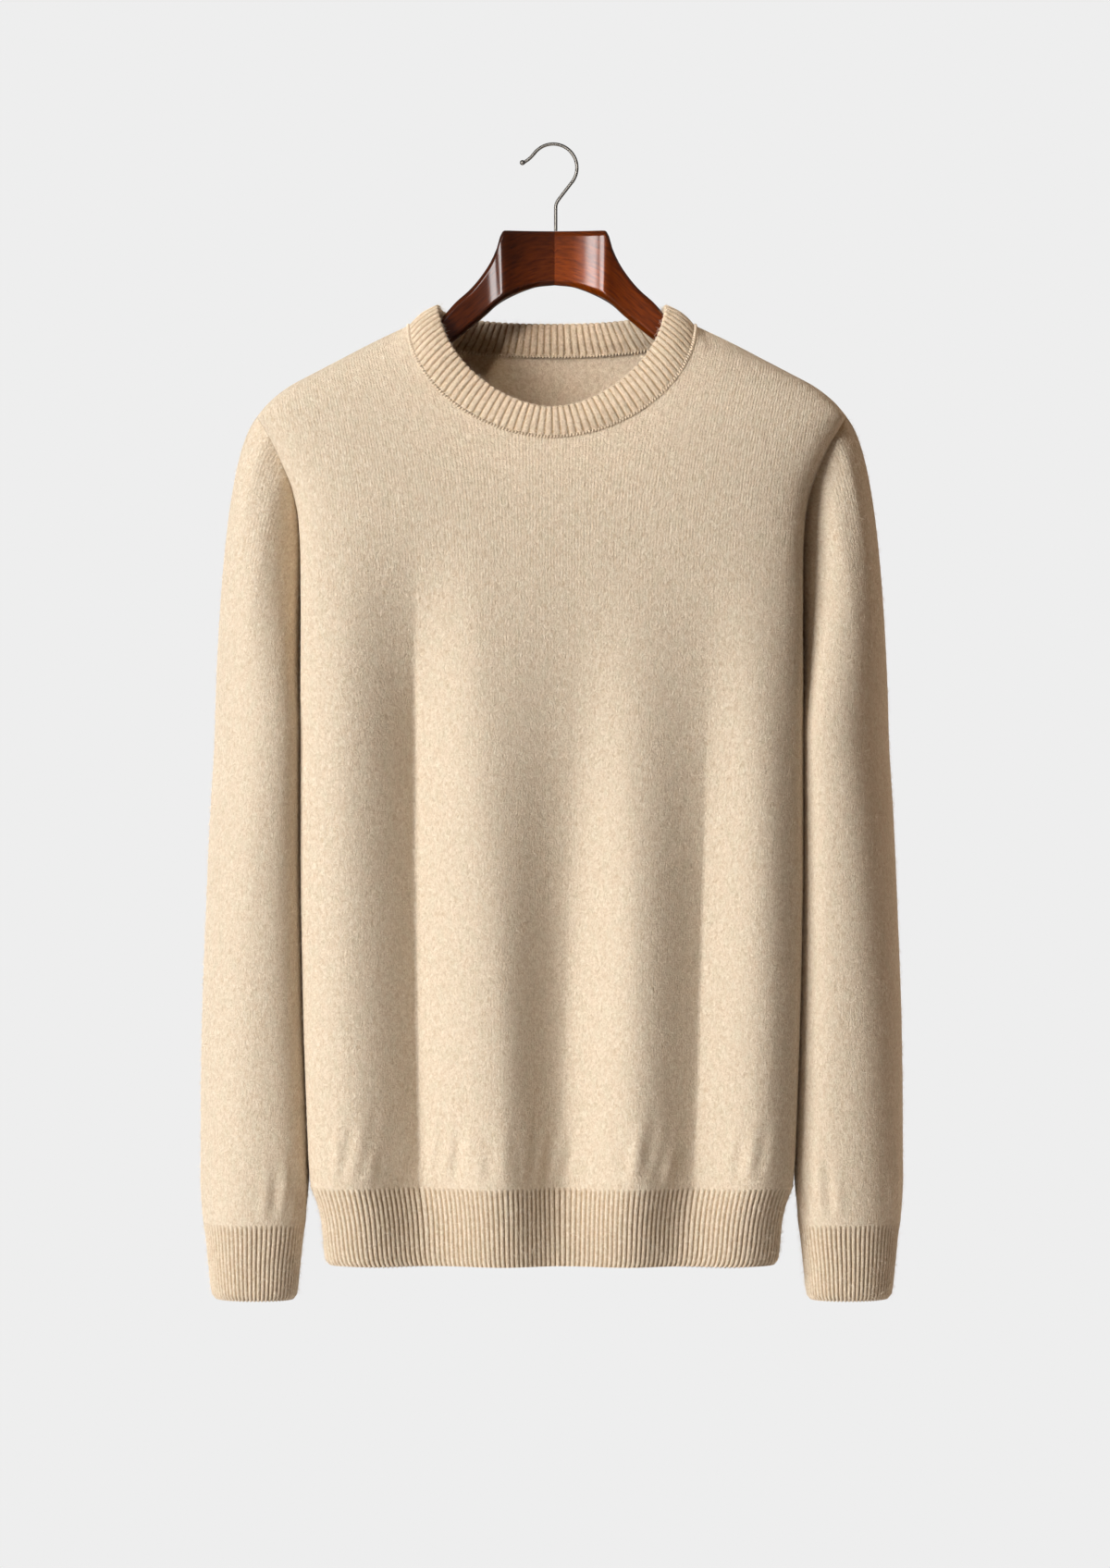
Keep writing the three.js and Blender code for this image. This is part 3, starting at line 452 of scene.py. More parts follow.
def make_varnished_wood():
    """Beech dyed red-brown under clear gloss varnish, two boards that meet in the middle. Painted
    shade darkens the -X side, most from the block's corner outwards, and the +X arm beyond the
    block, and darkens all of the wood towards the top edge. The coat gives bright soft reflections."""
    material, tree = new_material("varnished beech")
    cloth = add(tree, "UVMap", uv_map="cloth").outputs["UV"]
    grain = add(tree, "ValToRGB", {"Fac": mottling(tree, cloth, 2, 11, 5)})
    set_stops(grain, (0.2, WOOD_DARK), (0.8, WOOD_PALE))
    place = add(tree, "SeparateXYZ", {0: add(tree, "TexCoord").outputs["Object"]}).outputs
    # Painted shade, for each side of the middle and towards the top, multiplied into the grain's colour.
    painted_shades = []
    for axis, start, end, start_tone, end_tone in WOOD_PAINTED_SHADE:
        shade_range = add(tree, "MapRange", {"Value": place[axis], "From Min": start * MM, "From Max": end * MM,
                                       "To Min": start_tone, "To Max": end_tone})
        painted_shades.append(shade_range.outputs["Result"])
    on_plus_x_side = add(tree, "Math", {0: place["X"], 1: ARMS_X * MM}, operation="GREATER_THAN")
    shade_by_side = add(tree, "Mix", {0: on_plus_x_side.outputs[0], 2: painted_shades[0], 3: painted_shades[1]})
    painted_shade = add(tree, "Math", {0: shade_by_side.outputs[0], 1: painted_shades[2]}, operation="MULTIPLY")
    grain_and_painted_shade = add(tree, "Mix", {0: 1.0, 6: grain.outputs["Color"], 7: painted_shade.outputs[0]}, data_type="RGBA",
                  blend_type="MULTIPLY")
    shader = add(tree, "BsdfPrincipled", {
        "Base Color": grain_and_painted_shade.outputs[2], "Metallic": 0.15, "Roughness": 0.45, "Specular IOR Level": 0.1,
        "Coat Weight": 1.0, "Coat Roughness": 0.16, "Coat IOR": 1.5})
    finish_material(tree, shader)
    return material


def make_plated_wire():
    """Steel wire with a satin nickel plating: an even soft grey with no sharp reflections."""
    material, tree = new_material("satin nickel wire")
    shader = add(tree, "BsdfPrincipled", {"Base Color": rgb("A39D95"), "Metallic": 1.0, "Roughness": 0.5})
    finish_material(tree, shader)
    return material


def make_yarn(name, colour):
    """Single wool fibres and seam yarn: matt, and paler than the cloth because light passes into
    them from all sides."""
    material, tree = new_material(name)
    shader = add(tree, "BsdfPrincipled", {"Base Color": rgb(colour), "Roughness": 0.9,
                                          "Specular IOR Level": 0.1, "Sheen Weight": 0.2})
    finish_material(tree, shader)
    return material


FIBRE = make_yarn("loose wool fibres", "FBF0DE")
SEAM_YARN = make_yarn("wool seam yarn", "EEDDC6")
JERSEY = make_wool("brushed wool jersey", 0.42)
INNER = make_wool("unbrushed wool, inner side", 0.08)
# B0916A is the colour of the painted shade at the bottom of the ribs' grooves.
RIBBED = make_wool("ribbed wool", 0.08, groove="B0916A")
WOOD = make_varnished_wood()
WIRE = make_plated_wire()

# ---- Gathers above the ribs ----

GATHER_HEIGHT = 1.3  # about how far the largest gathers stand out
GATHER_FULL, GATHER_REACH = 14, 62  # where they stand highest above a rib, and how far up they go
GATHER_SPACINGS = (31, 22, 15)
GATHER_SEEDS = {"front": 2, "back": 4, "sleeves": 8}
GATHER_LEAN = 0.25
GATHER_BUNCH = 5.3  # they come and go over this many spacings


def gathers(around, above, seed):
    """Small uneven puckers where wide cloth is drawn into a rib. around is the way along the
    seam and above the height over it."""
    rng = np.random.default_rng(seed)
    height = np.zeros(np.broadcast(around, above).shape)
    for spacing in GATHER_SPACINGS:
        shift, lean = rng.uniform(0, spacing), rng.uniform(-GATHER_LEAN, GATHER_LEAN)
        share = ease(0.5 + np.sin(2 * math.pi * around / (GATHER_BUNCH * spacing) + rng.uniform(0, 6)))
        height = height + share * np.sin(2 * math.pi * (around + shift + lean * above) / spacing)
    fade = ease(above / GATHER_FULL) * ease((GATHER_REACH - above) / (GATHER_REACH - GATHER_FULL))
    return GATHER_HEIGHT / 2 * fade * height


# ---- The body ----

FRONT = {"armhole": FRONT_ARMHOLE, "centre": "front", "folds": FRONT_FOLDS, "face": -1,
         "neck_drop": 83, "neck_power": 1.9}
BACK = {"armhole": BACK_ARMHOLE, "centre": "back", "folds": BACK_FOLDS, "face": 1,
        "neck_drop": 19.5, "neck_power": 2.1}
FOLDS_LEAN_Z = -250  # the folds start to lean towards their feet here
SHOULDER_SHARE = 6 / 28  # share of a panel's columns that end at one shoulder seam
STRAIGHT_SHARE = 0.3  # share of a panel's height over which its columns run straight
ROW_SPREAD = 0.93  # below 1, rows lie a little closer towards the shoulders
COLUMN_EVENNESS = 0.6  # 1 for even columns, less to crowd them at the side seams
EVENING_PASSES = 500
WALE_LEAN = 26  # how far the wales swing outwards up to the shoulder
WALE_LEAN_Z, WALE_LEAN_RISE, WALE_LEAN_X = -330, 180, 90
CLOTH_STEPS = 48  # steps from the middle outwards in which the cloth is measured
FOLD_PASSES = 5  # how much the folds are rounded below the shoulders
ROUNDED_Z, ROUNDED_FADE = -200, 40
SIDE_FADE = 6  # the gathers fade over the last sixth of the way to a side seam


def fold_height(folds, x, z):
    """How far the folds carry the cloth out. x is taken across a panel of full width."""
    growth = [ease((opens - z) / (opens - full)) for opens, full in zip(folds["opens"], folds["full"])]
    lean = ease((FOLDS_LEAN_Z - z) / (FOLDS_LEAN_Z - HEM_SEAM_Z))
    at = [mix(top, foot, lean) for top, foot in zip(folds["top"], folds["foot"])]
    height = np.zeros(np.broadcast(x, z).shape)
    for k in range(len(at) - 1):
        t = np.clip((x - at[k]) / (at[k + 1] - at[k]), 0, 1)
        from_ridge = t if folds["out"][k] > folds["out"][k + 1] else 1 - t
        crease = np.maximum(folds["crease"][k] * growth[k], folds["crease"][k + 1] * growth[k + 1])
        crease = crease * ease((z - HEM_EDGE_Z) / CREASE_FADE)
        wave = mix((1 - np.cos(np.pi * from_ridge)) / 2, 1 - np.cos(np.pi * from_ridge / 2), crease)
        ends = [folds["out"][k] * growth[k], folds["out"][k + 1] * growth[k + 1]]
        if folds["out"][k] <= folds["out"][k + 1]:
            ends.reverse()
        inside = (x >= at[k]) & (x < at[k + 1])
        height = np.where(inside, mix(ends[0], ends[1], wave), height)
    return height


def oval_rest(part, power):
    """The other coordinate of a point on a unit oval."""
    return (1 - np.minimum(np.abs(part), 1) ** power) ** (1 / power)


def panel_edge(panel, z):
    """Half width and depth of the panel's edge at a level."""
    return [np.where(z <= UNDERARM_Z, read_table(SIDE_SEAM, column, z),
                     np.where(z >= SHOULDER_Z, read_table(SHOULDER_SEAM, column, z),
                              read_table(panel["armhole"], column, z))) for column in "xy"]


def panel_point(panel, x, z):
    """A point of the panel's outer face from its place across and its level."""
    edge_x, edge_y = panel_edge(panel, z)
    centre = read_table(CENTRE_LINE, panel["centre"], z)
    in_armhole = (z > UNDERARM_Z) & (z < SHOULDER_Z)
    parting = np.where(in_armhole, read_table(PARTING_LINE, "y", z), edge_y)
    power = read_table(CENTRE_LINE, "power", z)
    full_half = edge_x / oval_rest((edge_y - parting) / (centre - parting), power)
    bulge = oval_rest(x / full_half, power)
    fold = fold_height(panel["folds"], x / edge_x * FOLD_HALF_WIDTH, z)
    return stack(x, mix(parting, centre, bulge) + panel["face"] * fold, z)


def neckline(panel, turn):
    half = SHOULDER_SEAM["x"][-1]
    x = -half * oval_part(np.cos(turn), panel["neck_power"])
    z = NECK_POINT_Z - panel["neck_drop"] * oval_part(np.maximum(np.sin(turn), 0), panel["neck_power"])
    return panel_point(panel, x, z)


def top_edge(panel, columns):
    """The panel's top edge: shoulder, neckline, shoulder. Its middle column is the centre."""
    share = np.linspace(0, 1, columns)
    shoulder_z = mix(SHOULDER_Z, NECK_POINT_Z, np.minimum(share, 1 - share) / SHOULDER_SHARE)
    edge_x, edge_y = panel_edge(panel, np.minimum(shoulder_z, NECK_POINT_Z))
    shoulder = stack(np.where(share < 0.5, -edge_x, edge_x), edge_y, np.minimum(shoulder_z, NECK_POINT_Z))
    turn = math.pi * np.clip((share - SHOULDER_SHARE) / (1 - 2 * SHOULDER_SHARE), 0, 1)
    on_shoulder = np.minimum(share, 1 - share) <= SHOULDER_SHARE
    return np.where(on_shoulder[:, None], shoulder, neckline(panel, turn))


def evened(x, z):
    """A grid between fixed edges, its cells made even so that none folds over at a corner."""
    for _ in range(EVENING_PASSES):
        along = [(v[1:-1, 2:] - v[1:-1, :-2]) / 2 for v in (x, z)]
        up = [(v[2:, 1:-1] - v[:-2, 1:-1]) / 2 for v in (x, z)]
        a, g = up[0] ** 2 + up[1] ** 2, along[0] ** 2 + along[1] ** 2
        b = along[0] * up[0] + along[1] * up[1]
        for v in (x, z):
            twist = (v[2:, 2:] - v[2:, :-2] - v[:-2, 2:] + v[:-2, :-2]) / 4
            sides, ends = v[1:-1, 2:] + v[1:-1, :-2], v[2:, 1:-1] + v[:-2, 1:-1]
            v[1:-1, 1:-1] = (a * sides + g * ends - 2 * b * twist) / (2 * (a + g))
    return x, z


def panel_grid(panel, rows, columns):
    """The whole panel, from the hem up and from -X to +X."""
    top = top_edge(panel, columns)
    rise = np.linspace(0, 1, rows)[:, None] ** ROW_SPREAD
    level = mix(HEM_SEAM_Z, SHOULDER_Z, rise)
    edge_x, edge_y = panel_edge(panel, level)
    blend = ease((rise - STRAIGHT_SHARE) / (1 - STRAIGHT_SHARE))
    share = np.linspace(0, 1, columns)[None, :]
    low_part = mix(-np.cos(math.pi * share), 2 * share - 1, COLUMN_EVENNESS)
    part = mix(low_part, top[None, :, 0] / SHOULDER_SEAM["x"][0], blend)
    x, z = evened(part * edge_x, mix(HEM_SEAM_Z, top[None, :, 2], rise))
    points = panel_point(panel, x, z)
    points[:, 0] = stack(-edge_x[:, 0], edge_y[:, 0], level[:, 0])
    points[:, -1] = stack(edge_x[:, 0], edge_y[:, 0], level[:, 0])
    points[-1] = top
    return points


def panel_cloth(panel, points):
    """Places on the cloth: across is measured round the body at each level, and the wales lean
    outwards towards the shoulder seams."""
    x, z = points[..., 0], points[..., 2]
    across = np.zeros_like(x)
    before = panel_point(panel, 0 * x, z)
    for k in range(1, CLOTH_STEPS + 1):
        after = panel_point(panel, x * k / CLOTH_STEPS, z)
        across += np.hypot(after[..., 0] - before[..., 0], after[..., 1] - before[..., 1])
        before = after
    rise = np.clip((z - WALE_LEAN_Z) / WALE_LEAN_RISE, 0, 1.2)
    lean = WALE_LEAN * rise ** 2 * ease(np.abs(x) / WALE_LEAN_X)
    return places(np.sign(x) * (across - lean), z)


def make_panel(name, panel, rows, columns):
    points = panel_grid(panel, rows, columns)
    low = ease((ROUNDED_Z - points[..., 2]) / ROUNDED_FADE)
    depth = mix(points[..., 1], softened(points[..., 1], FOLD_PASSES), low)
    points[1:-1, 1:-1, 1] = depth[1:-1, 1:-1]
    points[..., 1] += panel["face"] * SEAM_GAP / 2
    cloth = panel_cloth(panel, points)
    bulge = gathers(cloth[..., 0], points[..., 2] - HEM_SEAM_Z, GATHER_SEEDS[panel["centre"]])
    inwards = 1 - np.abs(points[..., 0]) / SIDE_SEAM["x"][0]
    points[..., 1] += panel["face"] * bulge * ease(inwards * SIDE_FADE)
    points, cloth = in_place(panel["face"] > 0, points, cloth)
    return wall(grid_piece(name, points, cloth, JERSEY), KNIT_WALL, INNER), points


# ---- Ribs ----

HEM_PITCH = 3.4
CUFF_PITCH = 3.25
BAND_PITCH = 4.9
RIB_STEPS = 6  # cells across one rib
RIB_FINE_STEPS = 8  # points for each rib before they are evenly spaced
RIB_DEPTH = 1.5
RIB_BREADTH = 3.4  # more for a broader ridge and a narrower groove
GROOVE_ARCH = 2.5  # a groove grows deep over this distance from the seam
HEM_ROWS = 22
CUFF_ROWS = 18
EDGE_FOLD_SHARE = 0.5  # the hem's edge keeps this share of the folds


def rib_groove(phase):
    """Depth across the pitch of a rib, from 0 on its broad rounded ridge to 1 in the groove."""
    return np.abs(2 * (phase % 1) - 1) ** RIB_BREADTH


def groove_start(below):
    """Share of a groove's depth at a distance from the seam, where it begins in a small arch."""
    return ease(below / GROOVE_ARCH)


def hem_grid(panel, rows, ribs):
    """The hem rib of one panel, from its edge up to the seam."""
    part = -np.cos(np.linspace(0, math.pi, RIB_FINE_STEPS * ribs + 1))
    bulge = oval_rest(part, CENTRE_LINE["power"][0])
    grid = []
    for z in np.linspace(HEM_EDGE_Z, HEM_SEAM_Z, rows):
        x = part * read_table(HEM_RIB, "x", z)
        y = mix(read_table(HEM_RIB, "y", z), read_table(HEM_RIB, panel["centre"], z), bulge)
        fold = fold_height(panel["folds"], part * FOLD_HALF_WIDTH, z)
        held = mix(EDGE_FOLD_SHARE, 1, (z - HEM_EDGE_Z) / (HEM_SEAM_Z - HEM_EDGE_Z))
        y = y + panel["face"] * (held * fold + SEAM_GAP / 2)
        grid.append(evenly_spaced(stack(x, y, z), RIB_STEPS * ribs + 1))
    return np.array(grid)


def make_hem(name, panel):
    rough_edge = hem_grid(panel, rows=2, ribs=40)[0]
    ribs = round(lengths_along(rough_edge, 0)[-1] / HEM_PITCH)
    points = hem_grid(panel, HEM_ROWS, ribs)
    outwards = unit(-panel["face"] * grid_normals(points) * np.array([1, 1, 0]))
    phase = np.linspace(0, ribs, points.shape[1])
    groove = rib_groove(phase)[None, :] * groove_start(HEM_SEAM_Z - points[..., 2])
    points = points - outwards * RIB_DEPTH * groove[..., None]
    cloth = places(phase * HEM_PITCH, points[..., 2])
    points, cloth, groove = in_place(panel["face"] > 0, points, cloth, groove)
    return wall(grid_piece(name, points, cloth, RIBBED, groove=groove), RIB_WALL), points


# ---- Sleeves ----

SLEEVE_POWER = 2.2  # a sleeve's section is an oval a little squarer than an ellipse
WIDTH_POWER = SLEEVE_POWER / (SLEEVE_POWER - 1)
SLEEVE_ROUND = 280  # round the sleeve at its middle
CUFF_ROUND = 216
SLEEVE_COLUMNS = 120
CAP_ROWS, SLEEVE_ROWS = 70, 120
ARMHOLE_PASSES, SLEEVE_PASSES = 12, 10  # how much the cap's start and the sleeve are smoothed
# The cap leaves the armhole outwards, sideways and down, more so at the shoulder, and arrives
# at the sleeve nearly straight down.
CAP_OUT, CAP_OUT_SHOULDER = -1, 66
CAP_DEEP = 38
CAP_DOWN, CAP_DOWN_SHOULDER = 40, 32
CAP_END_OUT, CAP_END_FALL = 3, 1.28


def armhole_loop(turn):
    """Points round the armhole of the +X side, from the shoulder down the front and up the back,
    with the way in which the cloth leaves it there."""
    level = mix(SHOULDER_Z, UNDERARM_Z, (1 - np.cos(turn)) / 2)
    sides = []
    for panel in (FRONT, BACK):
        edge_x, edge_y = [read_table(panel["armhole"], column, level) for column in "xy"]
        inside = panel_point(panel, edge_x - KNIT_WALL, level)
        edge = stack(edge_x, edge_y, level)
        sides.append((edge, edge - inside))
    on_front = (turn <= math.pi)[:, None]
    edge = np.where(on_front, sides[0][0], sides[1][0])
    away = np.where(on_front, sides[0][1], sides[1][1])
    along = unit(np.roll(edge, -1, 0) - np.roll(edge, 1, 0))
    away = unit(away - along * np.sum(away * along, axis=-1, keepdims=True))
    return edge, unit(softened(away, ARMHOLE_PASSES, around=True))


def sleeve_ring(rows, z, turn):
    """A ring of the sleeve: an oval whose front leans towards the body, as wide as the table says."""
    across = oval_part(np.cos(turn), SLEEVE_POWER)
    deep = oval_part(np.sin(turn), SLEEVE_POWER)
    columns = ("inX", "outX", "y", "half", "tilt")
    in_x, out_x, y, half, tilt = [read_table(rows, column, z) for column in columns]
    width = (1 - tilt ** WIDTH_POWER) ** (1 / WIDTH_POWER)
    x = (in_x + out_x) / 2 + (out_x - in_x) / 2 * (width * across - tilt * deep)
    return stack(x, y - half * deep, z)


def sleeve_grid():
    """The sleeve of the +X side, from the armhole down to the cuff. The last column is left off."""
    turn = 2 * math.pi * np.arange(SLEEVE_COLUMNS) / SLEEVE_COLUMNS
    edge, away = armhole_loop(turn)
    near = (1 + np.cos(turn)) / 2
    start = edge + away * SEAM_GAP
    leave = stack(CAP_OUT + CAP_OUT_SHOULDER * near ** 2, -CAP_DEEP * np.sin(turn),
                  -CAP_DOWN - CAP_DOWN_SHOULDER * near)
    first_z = SLEEVE["z"][-1]
    end = sleeve_ring(SLEEVE, first_z, turn)
    arrive = stack(CAP_END_OUT, 0, CAP_END_FALL * (end[:, 2] - edge[:, 2]))
    cap = [hermite(start, leave, end, arrive, t) for t in np.arange(CAP_ROWS) / CAP_ROWS]
    lower = [sleeve_ring(SLEEVE, z, turn) for z in np.linspace(first_z, CUFF_SEAM_Z, SLEEVE_ROWS)]
    points = softened(cap + lower, SLEEVE_PASSES)
    around = SLEEVE_ROUND * turn / (2 * math.pi)
    bulge = gathers(around, points[..., 2] - CUFF_SEAM_Z, GATHER_SEEDS["sleeves"])
    return points + grid_normals(points, around=True) * bulge[..., None]


def make_sleeve(name, side):
    points = looped(sleeve_grid(), 1)
    down = lengths_along(points, 0)
    around = SLEEVE_ROUND * np.arange(SLEEVE_COLUMNS + 1) / SLEEVE_COLUMNS
    cloth = places(around, down[-1:] - down)
    points, cloth = in_place(side < 0, points * np.array([side, 1, 1]), cloth)
    return wall(grid_piece(name, points, cloth, JERSEY, joined=True), KNIT_WALL, INNER), points


def make_cuff(name, side):
    ribs = round(CUFF_ROUND / CUFF_PITCH)
    columns = RIB_STEPS * ribs
    fine = 2 * math.pi * np.arange(RIB_FINE_STEPS * ribs) / (RIB_FINE_STEPS * ribs)
    levels = np.linspace(CUFF_SEAM_Z, CUFF_EDGE_Z, CUFF_ROWS)
    rings = [evenly_spaced(looped(sleeve_ring(CUFF, z, fine)), columns + 1)[:-1] for z in levels]
    points = np.array(rings)
    phase = np.arange(columns + 1) / RIB_STEPS
    groove = rib_groove(phase[:-1])[None, :] * groove_start(CUFF_SEAM_Z - points[..., 2])
    points = looped(points - grid_normals(points, around=True) * RIB_DEPTH * groove[..., None], 1)
    cloth = places(phase * CUFF_PITCH, points[..., 2])
    groove = looped(groove, 1)
    points, cloth, groove = in_place(side < 0, points * np.array([side, 1, 1]), cloth, groove)
    return wall(grid_piece(name, points, cloth, RIBBED, joined=True, groove=groove), RIB_WALL), points


# ---- The neckband ----

BAND_TOP = {"x": 82, "z": -113.5, "y": -4.3}  # the top line's ends, over the shoulder seams
BAND_FRONT = {"drop": 77.5, "deep": -42, "power": 1.75}
BAND_BACK = {"drop": 12, "deep": 34, "power": 2.2}
BAND_DEPTH_POWER = 3
BAND_SWELL = 1.8  # how far the band's outer face swells out at half height
BAND_RIB_DEPTH = 0.95
BAND_STEPS = 8  # cells across one rib of the band
BAND_FINE_POINTS = 500  # points on each half line before they are evenly spaced
BAND_FACE_ROWS, BAND_FOLD_ROWS = 10, 9  # rows up each face, and over the folded top edge
SEAM_LINE_PASSES, TOP_LINE_PASSES = 30, 110


def band_top(part, turn):
    across = oval_part(np.cos(turn), part["power"])
    down = oval_part(np.maximum(np.sin(turn), 0), part["power"])
    deep = part["deep"] * oval_part(np.maximum(np.sin(turn), 0), BAND_DEPTH_POWER)
    return stack(-BAND_TOP["x"] * across, BAND_TOP["y"] + deep, BAND_TOP["z"] - part["drop"] * down)


def band_loops():
    """The seam line and the top line of the band, in even steps round the neck: along the front
    from -X to +X, then back."""
    turn = np.linspace(0, math.pi, BAND_FINE_POINTS)
    seam = np.concatenate([neckline(FRONT, turn)[:-1], neckline(BACK, turn)[:0:-1]])
    top = np.concatenate([band_top(BAND_FRONT, turn)[:-1], band_top(BAND_BACK, turn)[:0:-1]])
    along = lengths_along(looped((seam + top) / 2), 0)
    columns = round(along[-1] / BAND_PITCH) * BAND_STEPS
    wanted = np.arange(columns) / columns * along[-1]
    return [softened(points_at(wanted, along, looped(line)), passes, around=True)
            for line, passes in ((seam, SEAM_LINE_PASSES), (top, TOP_LINE_PASSES))]


def make_neckband():
    """The band, with its points, its seam line and the way outwards there."""
    seam, top = band_loops()
    rise = top - seam
    height = np.linalg.norm(rise, axis=-1, keepdims=True)
    up = rise / height
    outward = unit(np.cross(np.roll(seam + top, -1, 0) - np.roll(seam + top, 1, 0), rise))
    radius = BAND_WALL / 2
    straight = height - radius
    section = [(share, 0) for share in np.linspace(0, 1, BAND_FACE_ROWS)]
    section += [(1, bend) for bend in np.linspace(0, math.pi, BAND_FOLD_ROWS)[1:-1]]
    section += [(share, math.pi) for share in np.linspace(1, 0, BAND_FACE_ROWS)]
    phase = np.arange(len(seam) + 1) / BAND_STEPS
    points, down, grooves = [], [], []
    for share, bend in section:
        groove = rib_groove(phase[:-1])[:, None] * groove_start(share * straight)
        swell = BAND_SWELL * math.sin(math.pi * share) * (bend == 0)
        facing = outward * math.cos(bend) + up * math.sin(bend)
        half = mix(KNIT_WALL / 2, radius, ease(2 * share))
        middle = seam + up * (share * straight) - outward * half
        points.append(middle + facing * (half + swell - BAND_RIB_DEPTH * groove))
        grooves.append(groove[:, 0])
        down.append(np.mean(straight) * (share if bend == 0 else 2 - share) + radius * bend)
    points = moved_to_place(looped(looped(np.array(points)), 1))
    grooves = looped(looped(np.array(grooves)), 1)
    cloth = places(phase * BAND_PITCH, looped(np.array(down))[:, None])
    piece = grid_piece("neckband_ribs", points, cloth, RIBBED, joined=True, groove=grooves)
    return piece, points, moved_to_place(seam), outward


# ---- Loose fibres and seam stitches ----

FIBRE_RADIUS = 0.11
FIBRE_LENGTH = (2.5, 7.5)
FIBRE_RISE = (0.12, 0.75)  # how steeply a fibre stands up, as a slope
FIBRE_DROOP = 0.4  # how strongly they lean down the cloth
STEEP_LENGTH_SHARE = 0.6  # share of its length that one at a slope of 1 would keep
SEAM_STITCH = np.array([[1.5], [0.65], [0.9]])  # half of its length, width and height
SEAM_LEAN = 0.5
SEAM_OUT = 0.8  # how far a stitch's middle stands out of the cloth
SEAM_PITCH = 2.3


def copies(name, one, origins, axes, material):
    """One closed shape repeated by an array. Each copy is put at its origin, turned and stretched
    by its three axes."""
    mesh = mesh_from(name, one)
    shape = np.array([vert.co for vert in mesh.vertices])
    single = put_in_scene(name, mesh)
    array = single.modifiers.new("copies", "ARRAY")
    array.count = len(origins)
    array.relative_offset_displace = (0, 0, 0)
    repeated = bpy.data.meshes.new_from_object(single.evaluated_get(bpy.context.evaluated_depsgraph_get()))
    bpy.data.objects.remove(single)
    points = origins[:, None, :] + np.einsum("vk,nkj->nvj", shape, axes)
    repeated.vertices.foreach_set("co", (points * MM).ravel())
    repeated.update()
    return finished(name, repeated, material)


def make_fibres(name, points, count, seed):
    """Loose wool fibres that stand up from a grid of cloth: thin closed spikes, three-sided, that
    lean mostly down the cloth. Seen from outside, the grid's rows run to the right and upwards."""
    rng = np.random.default_rng(seed)
    rows, columns = points.shape[:2]
    row, column = rng.uniform(1, rows - 2, count), rng.uniform(1, columns - 2, count)
    r, c = row.astype(int), column.astype(int)
    along, up = points[r, c + 1] - points[r, c], points[r + 1, c] - points[r, c]
    root = points[r, c] + along * (column - c)[:, None] + up * (row - r)[:, None]
    normal = unit(np.cross(along, up))
    heading = rng.uniform(0, 2 * math.pi, count)[:, None]
    flat = unit(along) * np.cos(heading) + unit(up) * np.sin(heading)
    rise = rng.uniform(*FIBRE_RISE, count)[:, None]
    way = unit(unit(flat + np.array([0, 0, -FIBRE_DROOP])) + normal * rise)
    length = rng.uniform(*FIBRE_LENGTH, count)[:, None] * mix(1, STEEP_LENGTH_SHARE, rise)
    side = unit(np.cross(way, normal))
    axes = np.stack([side * FIBRE_RADIUS, np.cross(way, side) * FIBRE_RADIUS, way * length], axis=1)
    spike = bmesh.new()
    bmesh.ops.create_cone(spike, cap_ends=True, segments=3, radius1=1, radius2=0, depth=1,
                          matrix=Matrix.Translation((0, 0, 0.5)))
    return copies(name, spike, root - normal * FIBRE_RADIUS, axes, FIBRE)


def make_seam_stitches(name, line, outwards):
    """A row of small rounded stitches along a seam that goes round, each one leaning across it."""
    line, outwards = looped(line), looped(outwards)
    along = lengths_along(line, 0)
    count = int(along[-1] / SEAM_PITCH)
    wanted = (np.arange(count) + 0.5) * along[-1] / count
    place, out = points_at(wanted, along, line), unit(points_at(wanted, along, outwards))
    forward = unit(np.gradient(place, axis=0))
    way = unit(unit(np.cross(out, forward)) + SEAM_LEAN * forward)
    axes = np.stack([way, unit(np.cross(out, way)), out], axis=1) * SEAM_STITCH
    stitch = bmesh.new()
    bmesh.ops.create_icosphere(stitch, subdivisions=1, radius=1)
    for face in stitch.faces:
        face.smooth = True
    return copies(name, stitch, place, axes, SEAM_YARN)


# ---- The hanger ----

ARM_SWEEP = 0.045  # forward slant of an arm
ARM_CHAMFER = 3.5
ARM_ROUNDING = 1.3
BEVEL_ANGLE = math.radians(25)
ARM_REACH = 196
# One row for each distance from the middle, with the arm's top, its bottom and half its depth.
ARM = table(
    "x top bottom half",
    (0, -61.7, -100.7, 5.2), (12, -61.7, -101.9, 5.4), (20, -61.7, -104.2, 6.1), (28, -61.7, -107.4, 7.4),
    (37, -61.9, -111.8, 9.8), (42.5, -77, -115.8, 7.7), (49, -89, -122, 6.2), (60, -103, -131.5, 5.3),
    (72, -114, -141, 5.2), (79, -122, -146, 5.3), (85, -129, -150.5, 5.5), (104, -142, -164, 7),
    (135, -156, -178, 9), (165, -172.5, -192, 12), (188, -187, -204, 14), (ARM_REACH, -194, -205, 12))
BLOCK_RINGS, ARM_RINGS = 16, 70


